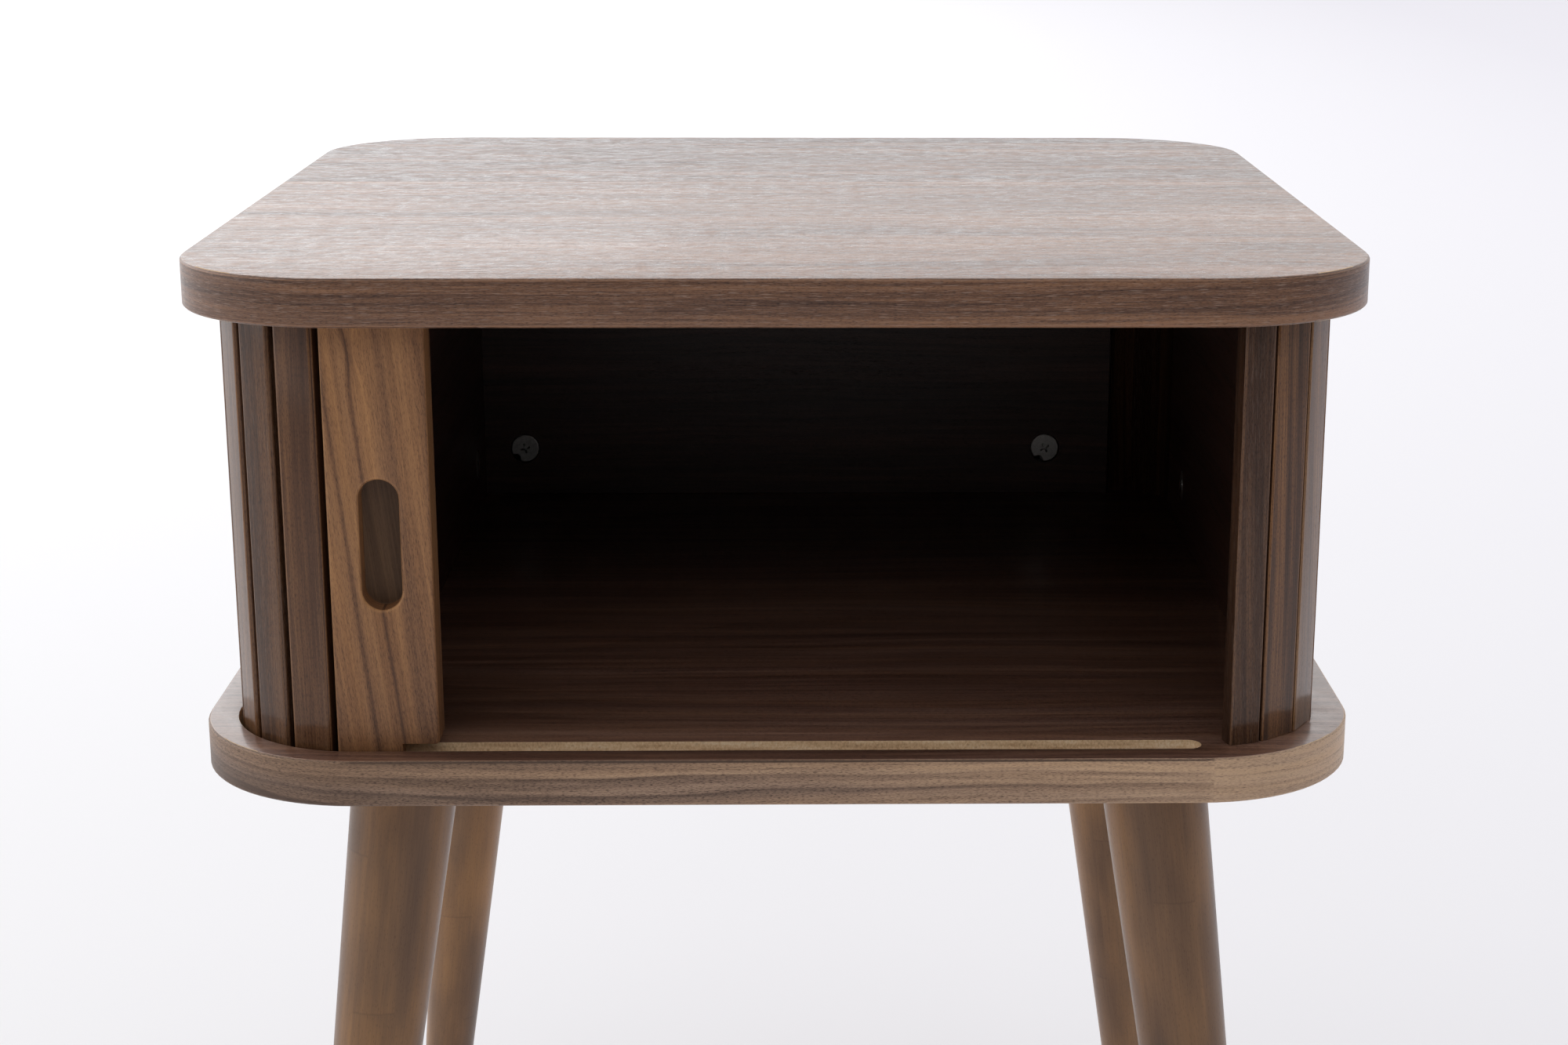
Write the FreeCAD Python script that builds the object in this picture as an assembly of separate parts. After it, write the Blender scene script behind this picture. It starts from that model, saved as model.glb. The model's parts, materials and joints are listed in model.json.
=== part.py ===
"""Bedside table with a tambour door, on four splayed legs.

Millimetres. +Z is up, -Y is the front and +X is to the right of a person who faces the front.
The origin is on the floor, under the middle of the table. The door is stored open.
"""

import FreeCAD, Part
import math
import os

V = FreeCAD.Vector
UP = V(0, 0, 1)

# ---- overall sizes -------------------------------------------------------------------------
table_width = 450.0
table_depth = 450.0
leg_height = 390.0           # floor to the underside of the base board
board_thickness = 18.0
storage_height = 164.0       # clear height between the two boards
board_corner_radius = 65.0
board_arris = 0.8            # eased edge of both boards

# ---- carcass -------------------------------------------------------------------------------
carcass_inset = 13.0         # board edge to the outer face of panels and slats
panel_thickness = 16.0
left_panel_setback = 40.0    # the curtain's pocket, between its face and the inner left panel
left_panel_front_gap = 3.0   # inner left panel behind the back of the lead slat

# ---- tambour curtain -----------------------------------------------------------------------
slat_thickness = 7.6
curtain_slats = 23
slat_gap = 0.2               # between two slats that lie straight
slat_edge = 1.0              # eased long edges
curtain_tail = 81.0          # this much of the curtain stays round the corner when the door is shut
canvas_head_strips = 4       # slats with a strip each, where the canvas bends behind the lead slat
canvas_tail_strips = 5       # the same at the curtain's other end
canvas_thickness = 0.5
canvas_joint = 0.4           # bare line between two canvas strips
canvas_end_margin = 4.0      # canvas stops this far short of both boards
track_slack = 7.0            # how far a straight slat may run into the track's corner

# ---- track grooves -------------------------------------------------------------------------
groove_outer_clearance = 1.3
groove_inner_clearance = 1.1
base_groove_depth = 8.0
top_groove_depth = 10.0      # deeper, so that the curtain lifts in
slat_float = 1.5             # slat end to groove floor, at the bottom
slat_top_float = 3.0         # slat end to groove floor, at the top
groove_overrun = 1.3         # how far both ends of the groove run past the straight

# ---- lead slat -----------------------------------------------------------------------------
lead_width = 38.5
lead_thickness = 16.0
lead_overrun = 6.6           # how far the open lead slat reaches into the track's corner
lead_tongue_width = 24.4     # the part of its width that runs in the grooves
lead_lift = 2.4              # the rest clears the base board by this much
lead_top_gap = 1.0           # and the top board by this much
lead_free_edge_radius = 1.5
lead_hinge_edge_radius = 1.0
lead_foot_corner_radius = 1.6
lead_head_corner_radius = 1.4
recess_width = 15.0
recess_height = 50.0
recess_depth = 9.0
recess_drop = 1.9            # its middle below the slat's middle
recess_edge = 0.8
hem_width = 9.0
hem_batten_thickness = 5.0
hem_batten_margin = 6.0
hem_screw_count = 3
hem_screw_radius = 1.5
hem_screw_head_radius = 2.8
hem_screw_head_depth = 1.6
hem_screw_depth = 4.0        # thread in the lead slat
closing_gap = 0.3            # shut door to the fixed corner

# ---- fixed corner slats --------------------------------------------------------------------
corner_full_slats = 3
corner_first_angle = 12.9    # where the narrow first slat starts, from the straight run
corner_second_angle = 28.2
corner_slat_land = 4.0       # two fixed slats meet flat over this much of their thickness
corner_slat_opening = 1.2    # then their joint opens to this at the outer face
corner_slat_edge = 0.5
tenon_width = 7.0
tenon_thickness = 4.0
tenon_length = 5.0
tenon_clearance = 0.15

# ---- fittings ------------------------------------------------------------------------------
cam_radius = 7.4
cam_clearance = 0.1
cam_depth = 12.5
cam_sunk = 0.4               # below the panel's face
cam_height = 24.0            # cam centre to the board
cam_slot_length = 5.6
cam_slot_width = 1.8
cam_slot_depth = 2.0
cam_mouth_radius = 3.7
cam_mouth_depth = 8.0
bolt_shank_radius = 2.9
bolt_head_radius = 3.3
bolt_thread_radius = 2.45
bolt_in_board = 11.0
bolt_head_length = 4.0
bolt_bore_radius = 3.8
fitting_clearance = 0.05
right_cam_setback = 46.0     # cam centre to the end of its panel
back_cam_setback = 36.4
left_cam_setback = 34.0
dowel_radius = 4.0
dowel_in_board = 12.0
dowel_in_panel = 17.0
dowel_from_cam = 32.0
dowel_end_room = 0.5
hidden_sides = 8             # flat sides of the rods and holes that nothing shows
cam_sides = 20               # flat sides of the cams and their pockets

# ---- legs ----------------------------------------------------------------------------------
leg_top_radius = 22.0
leg_foot_radius = 10.0
leg_inset = 76.0             # leg axis to the board's edge, at the top
leg_splay = 0.126            # outward run for each millimetre down, in X and in Y
leg_sides = 32               # flat sides that stand for the round leg and its pad
leg_bolt_radius = 4.0
leg_bolt_in_leg = 35.0
leg_bolt_in_board = 11.0
insert_radius = 6.0
insert_length = 12.0
glide_radius = 8.0
glide_thickness = 3.0

# ---- worked out from the sizes above -------------------------------------------------------
base_top = leg_height + board_thickness
roof = base_top + storage_height             # underside of the top board
half_width = table_width / 2
half_depth = table_depth / 2
face_x = half_width - carcass_inset          # outer face of the carcass
face_y = half_depth - carcass_inset
face_radius = board_corner_radius - carcass_inset
corner_x = half_width - board_corner_radius  # centre of every concentric corner
corner_y = half_depth - board_corner_radius
line_radius = face_radius - slat_thickness   # the canvas hinge line, round the corner
line_x = corner_x + line_radius
line_y = corner_y + line_radius
slat_bottom = base_top - base_groove_depth + slat_float
slat_top = roof + top_groove_depth - slat_top_float
first_slat_angle = math.radians(corner_first_angle)
shut_left_x = corner_x + line_radius * math.sin(first_slat_angle) - closing_gap - lead_width
line_arc = line_radius * math.pi / 2
# The open curtain has to end before the track does, on the left side.
open_room = (shut_left_x + corner_x + curtain_tail - line_arc - 2 * corner_y) / 2
lead_left_x = -corner_x + max(-lead_overrun, open_room)
lead_right_x = lead_left_x + lead_width
lead_middle_x = (lead_left_x + lead_right_x) / 2
recess_middle_z = (base_top + roof) / 2 - recess_drop
door_travel = shut_left_x - lead_left_x
slat_pitch = (door_travel + curtain_tail) / curtain_slats   # from one canvas hinge line to the next
left_panel_x = face_x - left_panel_setback   # outer face of the inner left panel
right_panel_x = face_x - panel_thickness     # inner face of the right panel
back_panel_y = face_y - panel_thickness      # inner face of the back panel
back_panel_half = corner_x + face_radius * math.tan(first_slat_angle)
left_panel_front = face_y - lead_thickness - left_panel_front_gap
right_cam_y = corner_y - right_cam_setback
back_cam_x = back_panel_half - back_cam_setback
left_cam_front_y = -left_panel_front + left_cam_setback
left_cam_back_y = back_panel_y - left_cam_setback
leg_x = half_width - leg_inset
leg_y = half_depth - leg_inset


# ---- shapes --------------------------------------------------------------------------------
def box(x0, x1, y0, y1, z0, z1):
    """A block between two corners."""
    return Part.makeBox(x1 - x0, y1 - y0, z1 - z0, V(x0, y0, z0))


def rounded_outline(half_x, half_y, radius, z):
    """A closed wire: a rectangle about the Z axis with four round corners."""
    edges = []
    ends = []
    for quarter, (side_x, side_y) in enumerate(((1, 1), (-1, 1), (-1, -1), (1, -1))):
        centre = V(side_x * (half_x - radius), side_y * (half_y - radius), z)
        start = 90 * quarter
        edges.append(Part.makeCircle(radius, centre, UP, start, start + 90))
        first = math.radians(start)
        last = math.radians(start + 90)
        ends.append((centre + V(math.cos(first), math.sin(first), 0) * radius,
                     centre + V(math.cos(last), math.sin(last), 0) * radius))
    for i in range(4):
        edges.append(Part.makeLine(ends[i][1], ends[(i + 1) % 4][0]))
    return Part.Wire(Part.__sortEdges__(edges))


def prism(wire, height):
    """The solid that a closed flat wire sweeps upward."""
    return Part.Face(wire).extrude(V(0, 0, height))


def polygon_prism(points, z0, z1):
    """The solid over a polygon of (x, y) points."""
    wire = Part.makePolygon([V(x, y, z0) for x, y in points + points[:1]])
    return prism(wire, z1 - z0)


def rod(radius, length, start, direction, sides=hidden_sides):
    """A rod or the hole for one: a regular prism, with few sides where nothing shows it."""
    across = V(1, 0, 0) if abs(direction.x) < 0.5 else UP
    other = direction.cross(across)
    points = []
    for i in range(sides):
        angle = 2 * math.pi * i / sides
        points.append(start + across * (radius * math.cos(angle)) + other * (radius * math.sin(angle)))
    wire = Part.makePolygon(points + points[:1])
    return Part.Face(wire).extrude(direction * length)


def vertical_edges(shape, places, reach=0.01):
    """The upright edges of a shape that stand at the given (x, y) places."""
    found = []
    for edge in shape.Edges:
        box_of = edge.BoundBox
        if box_of.ZLength < 1 or box_of.XLength > reach or box_of.YLength > reach:
            continue
        for x, y in places:
            if abs(box_of.Center.x - x) < reach and abs(box_of.Center.y - y) < reach:
                found.append(edge)
    return found


def edges_at_height(shape, z, reach=0.01):
    """The edges of a shape that lie flat at one height."""
    return [e for e in shape.Edges if abs(e.BoundBox.ZMin - z) < reach and abs(e.BoundBox.ZMax - z) < reach]


def save(node, shape):
    """Write one node's STEP file."""
    shape.exportStep("parts/" + node + ".step")


# ---- the track and the curtain on it -------------------------------------------------------
def next_hinge(x, y):
    """The next canvas hinge line along the track: front run, round corner, then left side."""
    straight = x - slat_pitch
    if straight >= -corner_x - track_slack:
        return straight, -line_y
    if y < -corner_y:
        away_x = x + corner_x
        away_y = y + corner_y
        reach = math.hypot(away_x, away_y)
        swing = math.acos((reach ** 2 + line_radius ** 2 - slat_pitch ** 2) / (2 * reach * line_radius))
        angle = math.atan2(-away_x, -away_y) + swing
        if angle <= math.pi / 2:
            return -corner_x - line_radius * math.sin(angle), -corner_y - line_radius * math.cos(angle)
    across = x + line_x
    return -line_x, y + math.sqrt(slat_pitch ** 2 - across ** 2)


def hinge_lines(lead_x, count):
    """The canvas hinge lines from the lead slat's left edge to the curtain's tail."""
    lines = [(lead_x, -line_y)]
    while len(lines) <= count:
        lines.append(next_hinge(*lines[-1]))
    return lines


def between(start, end, inset, near, far, z0, z1):
    """A block along start to end, inset at both ends, from near to far outward of that line."""
    length = math.hypot(end[0] - start[0], end[1] - start[1])
    angle = math.degrees(math.atan2(end[1] - start[1], end[0] - start[0]))
    block = box(inset, length - inset, near, far, z0, z1)
    return block, V(start[0], start[1], 0), angle


def placed(block, origin, angle):
    """A block turned about Z and moved to its place."""
    moved = block.copy()
    moved.rotate(V(0, 0, 0), UP, angle)
    moved.translate(origin)
    return moved


def curtain_slat(start, end):
    """One slat, with its two outer long edges eased."""
    block, origin, angle = between(start, end, slat_gap / 2, 0.0, slat_thickness, slat_bottom, slat_top)
    length = math.hypot(end[0] - start[0], end[1] - start[1])
    # The line runs away from the lead slat, so the outer side is on its left.
    outer = [(slat_gap / 2, slat_thickness), (length - slat_gap / 2, slat_thickness)]
    block = block.makeChamfer(slat_edge, vertical_edges(block, outer))
    return placed(block, origin, angle)


def towards(start, end, distance):
    """The point this far from start on the way to end."""
    share = distance / math.hypot(end[0] - start[0], end[1] - start[1])
    return start[0] + (end[0] - start[0]) * share, start[1] + (end[1] - start[1]) * share


def canvas_strip(lines):
    """The canvas behind the slats between these hinge lines, bare for half a joint at both ends."""
    low = base_top + canvas_end_margin
    high = roof - canvas_end_margin
    first = towards(lines[0], lines[1], canvas_joint / 2)
    last = towards(lines[-1], lines[-2], canvas_joint / 2)
    points = [first] + lines[1:-1] + [last]
    stretches = []
    for start, end in zip(points, points[1:]):
        block, origin, angle = between(start, end, 0.0, -canvas_thickness, 0.0, low, high)
        stretches.append(placed(block, origin, angle))
    strip = stretches[0]
    if stretches[1:]:
        strip = strip.fuse(stretches[1:]).removeSplitter()
    return strip


# ---- boards --------------------------------------------------------------------------------
def track_groove(z0, z1):
    """The track cut in both boards: left side, front-left corner and front, 10 mm wide."""
    outer = line_radius + slat_thickness + groove_outer_clearance
    inner = line_radius - groove_inner_clearance
    middle = (outer + inner) / 2
    end_radius = (outer - inner) / 2
    height = z1 - z0
    ring = Part.makeCylinder(outer, height, V(-corner_x, -corner_y, z0))
    ring = ring.cut(Part.makeCylinder(inner, height, V(-corner_x, -corner_y, z0)))
    ring = ring.common(box(-corner_x - outer, -corner_x, -corner_y - outer, -corner_y, z0, z1))
    front_end = corner_x + groove_overrun - end_radius
    front = box(-corner_x, front_end, -corner_y - outer, -corner_y - inner, z0, z1)
    front_cap = Part.makeCylinder(end_radius, height, V(front_end, -corner_y - middle, z0))
    back_end = corner_y + groove_overrun - end_radius
    side = box(-corner_x - outer, -corner_x - inner, -corner_y, back_end, z0, z1)
    side_cap = Part.makeCylinder(end_radius, height, V(-corner_x - middle, back_end, z0))
    return front.fuse([ring, side, front_cap, side_cap]).removeSplitter()


def blank_board(z0):
    """A board with round corners and eased edges."""
    board = prism(rounded_outline(half_width, half_depth, board_corner_radius, z0), board_thickness)
    rims = edges_at_height(board, z0) + edges_at_height(board, z0 + board_thickness)
    return board.makeChamfer(board_arris, rims)


def board_fitting_holes(z_face, inward):
    """Pilot holes for cam bolts and dowel holes. inward is +1 into a board above, -1 below."""
    holes = []
    for x, y in fitting_places():
        holes.append(rod(bolt_thread_radius + fitting_clearance, bolt_in_board + dowel_end_room,
                         V(x, y, z_face), UP * inward))
    for x, y in dowel_places():
        holes.append(rod(dowel_radius + fitting_clearance, dowel_in_board + dowel_end_room,
                         V(x, y, z_face), UP * inward))
    return holes


def base_board():
    """The lower board, with the track, mortises and holes in its top and leg inserts below."""
    board = blank_board(leg_height)
    cuts = [track_groove(base_top - base_groove_depth, base_top)]
    cuts += board_fitting_holes(base_top, -1)
    cuts += [tenon(piece, base_top, tenon_clearance) for piece in all_corner_slats()]
    for x, y in leg_places():
        cuts.append(rod(insert_radius + fitting_clearance, insert_length, V(x, y, leg_height), UP))
    return board.cut(cuts)


def top_board():
    """The upper board, with the deeper track, mortises and holes in its underside."""
    board = blank_board(roof)
    cuts = [track_groove(roof, roof + top_groove_depth)]
    cuts += board_fitting_holes(roof, 1)
    cuts += [tenon(piece, roof, tenon_clearance) for piece in all_corner_slats()]
    return board.cut(cuts)


# ---- panels and their fittings -------------------------------------------------------------
def fitting_sets():
    """For each panel: where its bolts stand, and which way its inner face looks."""
    half = panel_thickness / 2
    right = [(right_panel_x + half, y, V(-1, 0, 0)) for y in (-right_cam_y, right_cam_y)]
    back = [(x, back_panel_y + half, V(0, -1, 0)) for x in (-back_cam_x, back_cam_x)]
    left = [(half - left_panel_x, y, V(1, 0, 0)) for y in (left_cam_front_y, left_cam_back_y)]
    return right, back, left


def fitting_places():
    """Where every cam bolt stands, in X and Y."""
    return [(x, y) for group in fitting_sets() for x, y, _ in group]


def dowel_places():
    """Where every dowel stands: beside each cam bolt, towards the middle of its panel."""
    places = []
    for group in fitting_sets():
        for x, y, look in group:
            if look.y:
                places.append((x - math.copysign(dowel_from_cam, x), y))
            else:
                places.append((x, y - math.copysign(dowel_from_cam, y)))
    return places


def cam_centres(group):
    """The point on the panel's inner face over each cam, at the bottom and at the top."""
    for x, y, look in group:
        face = V(x, y, 0) + look * (panel_thickness / 2)
        for z, down in ((base_top + cam_height, -1), (roof - cam_height, 1)):
            yield V(face.x, face.y, z), look, down


def panel_with_holes(panel, group):
    """Cut the cam pockets, bolt bores and dowel holes of one panel."""
    cuts = []
    for centre, look, down in cam_centres(group):
        pocket = rod(cam_radius + cam_clearance, cam_depth + cam_sunk, centre, look * -1, cam_sides)
        axis = centre - look * (panel_thickness / 2)
        bore = rod(bolt_bore_radius, cam_height, axis, UP * down)
        cuts += [pocket, bore]
    for x, y in dowel_places():
        if not panel.BoundBox.isInside(V(x, y, (base_top + roof) / 2)):
            continue
        for z, inward in ((base_top, 1), (roof, -1)):
            cuts.append(rod(dowel_radius + fitting_clearance, dowel_in_panel + dowel_end_room,
                            V(x, y, z), UP * inward))
    return panel.cut(cuts)


def right_panel():
    """The right side: it fills the straight stretch between the two fixed corners."""
    panel = box(right_panel_x, face_x, -corner_y, corner_y, base_top, roof)
    return panel_with_holes(panel, fitting_sets()[0])


def back_panel():
    """The back: it runs into both rear corners, where the fixed slats take over."""
    inner = back_panel_half - panel_thickness * math.tan(first_slat_angle)
    points = [(inner, back_panel_y), (back_panel_half, face_y),
              (-back_panel_half, face_y), (-inner, back_panel_y)]
    return panel_with_holes(polygon_prism(points, base_top, roof), fitting_sets()[1])


def left_inner_panel():
    """The panel that parts the storage space from the pocket that the curtain slides into."""
    panel = box(-left_panel_x, panel_thickness - left_panel_x, -left_panel_front, back_panel_y,
                base_top, roof)
    return panel_with_holes(panel, fitting_sets()[2])


def cam_lock(centre, look, down):
    """One cam: a drum with a crossed drive slot and a mouth for the bolt's head."""
    face = centre - look * cam_sunk
    drum = rod(cam_radius, cam_depth, face, look * -1, cam_sides)
    side = UP.cross(look)
    cuts = []
    for along, across in ((side, UP), (UP, side)):
        corner = face - along * (cam_slot_length / 2) - across * (cam_slot_width / 2)
        slot = Part.makePolygon([corner, corner + along * cam_slot_length,
                                 corner + along * cam_slot_length + across * cam_slot_width,
                                 corner + across * cam_slot_width, corner])
        cuts.append(Part.Face(slot).extrude(look * -cam_slot_depth))
    axis = centre - look * (panel_thickness / 2) + UP * (down * cam_radius)
    cuts.append(rod(cam_mouth_radius, cam_mouth_depth, axis, UP * -down))
    return drum.cut(cuts)


def cam_bolt(centre, look, down):
    """One bolt: a thread in the board, a shank through the panel and a head inside the cam."""
    axis = centre - look * (panel_thickness / 2)
    foot = V(axis.x, axis.y, base_top if down < 0 else roof)
    away = UP * -down
    shank_end = cam_height - cam_radius + cam_mouth_depth - fitting_clearance - bolt_head_length
    thread = rod(bolt_thread_radius, bolt_in_board, foot, away * -1)
    shank = rod(bolt_shank_radius, shank_end, foot, away)
    head = rod(bolt_head_radius, bolt_head_length, foot + away * shank_end, away)
    return thread.fuse([shank, head])


def every_cam(make):
    """Make one fitting at each cam of the three panels, as a group of solids."""
    return Part.makeCompound([make(*place) for group in fitting_sets() for place in cam_centres(group)])


def panel_dowels():
    """The wooden dowels that locate the panels on both boards."""
    dowels = []
    for x, y in dowel_places():
        for z, inward in ((base_top, 1), (roof, -1)):
            low = min(z - inward * dowel_in_board, z + inward * dowel_in_panel)
            dowels.append(rod(dowel_radius, dowel_in_board + dowel_in_panel, V(x, y, low), UP))
    return Part.makeCompound(dowels)


# ---- fixed corner slats --------------------------------------------------------------------
def corner_angles():
    """The joints between the fixed slats of one corner, in degrees from the straight run."""
    step = (90.0 - corner_second_angle) / corner_full_slats
    return [corner_first_angle] + [corner_second_angle + step * i for i in range(corner_full_slats + 1)]


def corner_point(radius, degrees, side_x, side_y, shift=0.0):
    """A point round a corner: 0 degrees looks to the front or back, 90 to the side."""
    angle = math.radians(degrees)
    x = corner_x + radius * math.sin(angle) - shift * math.cos(angle)
    y = corner_y + radius * math.cos(angle) + shift * math.sin(angle)
    return side_x * x, side_y * y


def corner_slats(side_x, side_y):
    """The fixed slats of one corner: (solid, its middle, its direction) for each."""
    pieces = []
    angles = corner_angles()
    land_radius = line_radius + corner_slat_land
    half_opening = corner_slat_opening / 2
    for start, end in zip(angles, angles[1:]):
        outer = [corner_point(face_radius, start, side_x, side_y, -half_opening),
                 corner_point(face_radius, end, side_x, side_y, half_opening)]
        inner = [corner_point(land_radius, end, side_x, side_y),
                 corner_point(line_radius, end, side_x, side_y),
                 corner_point(line_radius, start, side_x, side_y),
                 corner_point(land_radius, start, side_x, side_y)]
        solid = polygon_prism(outer + inner, base_top, roof)
        solid = solid.makeChamfer(corner_slat_edge, vertical_edges(solid, outer))
        middle = corner_point((face_radius + line_radius) / 2, (start + end) / 2, side_x, side_y)
        direction = math.degrees(math.atan2(outer[1][1] - outer[0][1], outer[1][0] - outer[0][0]))
        pieces.append((solid, middle, direction))
    return pieces


def tenon(piece, z, clearance=0.0):
    """The short tenon of a corner slat across the joint at height z, or its mortise."""
    _, middle, direction = piece
    half_w = tenon_width / 2 + clearance
    half_t = tenon_thickness / 2 + clearance
    reach = tenon_length + clearance
    low, high = (z - reach, z) if z < (base_top + roof) / 2 else (z, z + reach)
    return placed(box(-half_w, half_w, -half_t, half_t, low, high), V(middle[0], middle[1], 0), direction)


def all_corner_slats():
    """Every fixed slat of the three closed corners."""
    return corner_slats(1, -1) + corner_slats(1, 1) + corner_slats(-1, 1)


def corner_group(side_x, side_y):
    """The fixed slats of one corner with their tenons, as a group of solids."""
    solids = []
    for piece in corner_slats(side_x, side_y):
        solids.append(piece[0].fuse([tenon(piece, base_top), tenon(piece, roof)]).removeSplitter())
    return Part.makeCompound(solids)


# ---- door ----------------------------------------------------------------------------------
def lead_slat():
    """The wide slat that is pulled: tongues in both grooves, a finger recess and a rebate."""
    front = -line_y - slat_thickness
    back = front + lead_thickness
    low = base_top + lead_lift
    high = roof - lead_top_gap
    body = box(lead_left_x, lead_right_x, front, back, low, high)
    free_edge = [(lead_right_x, front), (lead_right_x, back)]
    body = body.makeFillet(lead_free_edge_radius, vertical_edges(body, free_edge))
    corners = [front_corner_cutter(low, 1, lead_foot_corner_radius),
               front_corner_cutter(high, -1, lead_head_corner_radius)]
    body = body.cut(corners)
    tongue = box(lead_left_x, lead_left_x + lead_tongue_width, front, -line_y, slat_bottom, slat_top)
    rebate = box(lead_left_x, lead_left_x + hem_width, -line_y, back, low, high)
    body = body.cut(rebate).fuse(tongue).removeSplitter()
    body = body.makeFillet(lead_hinge_edge_radius, vertical_edges(body, [(lead_left_x, front)]))
    recess = finger_recess(front, recess_middle_z)
    return body.cut([recess] + [screw_hole(z) for z in hem_screw_heights()])


def front_corner_cutter(z, inward, radius):
    """What rounds the free corner of the lead slat at its foot (inward 1) or head (inward -1)."""
    front = -line_y - slat_thickness
    x = lead_right_x - radius
    centre_z = z + inward * radius
    low, high = sorted((z, centre_z))
    block = box(x, lead_right_x, front, front + lead_thickness, low, high)
    return block.cut(Part.makeCylinder(radius, lead_thickness, V(x, front, centre_z), V(0, 1, 0)))


def finger_recess(front, middle_z):
    """An upright slot with round ends, blind, with an eased rim."""
    radius = recess_width / 2
    straight = recess_height / 2 - radius
    slot = box(lead_middle_x - radius, lead_middle_x + radius, front, front + recess_depth,
               middle_z - straight, middle_z + straight)
    caps = [Part.makeCylinder(radius, recess_depth, V(lead_middle_x, front, middle_z + z), V(0, 1, 0))
            for z in (-straight, straight)]
    slot = slot.fuse(caps).removeSplitter()
    rim = box(lead_middle_x - radius - recess_edge, lead_middle_x + radius + recess_edge, front,
              front + recess_edge, middle_z - straight, middle_z + straight)
    cones = [Part.makeCone(radius + recess_edge, radius, recess_edge, V(lead_middle_x, front, middle_z + z),
                           V(0, 1, 0)) for z in (-straight, straight)]
    wedge = Part.makePolygon([V(lead_middle_x - radius - recess_edge, front, middle_z - straight),
                              V(lead_middle_x + radius + recess_edge, front, middle_z - straight),
                              V(lead_middle_x + radius, front + recess_edge, middle_z - straight),
                              V(lead_middle_x - radius, front + recess_edge, middle_z - straight),
                              V(lead_middle_x - radius - recess_edge, front, middle_z - straight)])
    rim = rim.common(Part.Face(wedge).extrude(V(0, 0, 2 * straight)))
    return slot.fuse([rim] + cones)


def hem_screw_heights():
    """Evenly spaced heights for the screws that clamp the canvas hem."""
    low = base_top + hem_batten_margin
    high = roof - hem_batten_margin
    return [low + (high - low) * (i + 0.5) / hem_screw_count for i in range(hem_screw_count)]


def screw_form(z, grow):
    """A flat-headed screw from the batten's back face into the lead slat."""
    start = V(lead_left_x + hem_width / 2, -line_y + canvas_thickness + hem_batten_thickness, z)
    forward = V(0, -1, 0)
    length = hem_batten_thickness + canvas_thickness + hem_screw_depth + grow
    shank = rod(hem_screw_radius + grow, length, start, forward)
    head = rod(hem_screw_head_radius + grow, hem_screw_head_depth + grow, start, forward)
    return shank.fuse(head).removeSplitter()


def screw_hole(z):
    """The hole for one hem screw."""
    return screw_form(z, fitting_clearance)


def hem_strip(y0, thickness, margin):
    """The canvas hem or its batten in the lead slat's rebate."""
    strip = box(lead_left_x + canvas_joint / 2, lead_left_x + hem_width - canvas_joint / 2,
                y0, y0 + thickness, base_top + margin, roof - margin)
    return strip.cut([screw_hole(z) for z in hem_screw_heights()])


def door_nodes():
    """Every node of the door, by name."""
    lines = hinge_lines(lead_left_x, curtain_slats)
    nodes = {"lead_slat": lead_slat(),
             "canvas_hem": hem_strip(-line_y, canvas_thickness, canvas_end_margin),
             "hem_batten": hem_strip(-line_y + canvas_thickness, hem_batten_thickness, hem_batten_margin),
             "hem_screws": Part.makeCompound([screw_form(z, 0.0) for z in hem_screw_heights()])}
    for i in range(curtain_slats):
        nodes["curtain_slat_%02d" % (i + 1)] = curtain_slat(lines[i], lines[i + 1])
    for i in range(canvas_head_strips):
        nodes["canvas_head_%d" % (i + 1)] = canvas_strip(lines[i:i + 2])
    first_tail = curtain_slats - canvas_tail_strips
    nodes["canvas_run"] = canvas_strip(lines[canvas_head_strips:first_tail + 1])
    for i in range(canvas_tail_strips):
        nodes["canvas_tail_%d" % (i + 1)] = canvas_strip(lines[first_tail + i:first_tail + i + 2])
    return nodes


# ---- legs ----------------------------------------------------------------------------------
def leg_places():
    """Where the leg bolts stand."""
    return [(x * leg_x, y * leg_y) for x in (-1, 1) for y in (-1, 1)]


def leg(side_x, side_y):
    """One round tapered leg, splayed outward, with a flat top and a flat foot."""
    rings = []
    for z, radius in ((leg_height, leg_top_radius), (glide_thickness, leg_foot_radius)):
        out = leg_splay * (leg_height - z)
        centre = V(side_x * (leg_x + out), side_y * (leg_y + out), z)
        turns = [2 * math.pi * i / leg_sides for i in range(leg_sides)]
        rings.append([centre + V(math.cos(turn), math.sin(turn), 0) * radius for turn in turns])
    outlines = rings[:]
    for i in range(leg_sides):
        j = (i + 1) % leg_sides
        outlines.append([rings[0][i], rings[0][j], rings[1][j], rings[1][i]])
    faces = [Part.Face(Part.makePolygon(points + points[:1])) for points in outlines]
    body = Part.Solid(Part.Shell(faces))
    bore = rod(leg_bolt_radius + fitting_clearance, leg_bolt_in_leg + dowel_end_room,
               V(side_x * leg_x, side_y * leg_y, leg_height), UP * -1)
    return body.cut(bore)


def leg_bolts():
    """The steel studs that join the legs to the base board."""
    length = leg_bolt_in_leg + leg_bolt_in_board
    return Part.makeCompound([rod(leg_bolt_radius, length, V(x, y, leg_height - leg_bolt_in_leg), UP)
                              for x, y in leg_places()])


def leg_inserts():
    """The threaded sleeves in the base board that take the studs."""
    sleeves = []
    for x, y in leg_places():
        foot = V(x, y, leg_height)
        bore = rod(leg_bolt_radius + fitting_clearance, insert_length, foot, UP)
        sleeves.append(rod(insert_radius, insert_length, foot, UP).cut(bore))
    return Part.makeCompound(sleeves)


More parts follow.
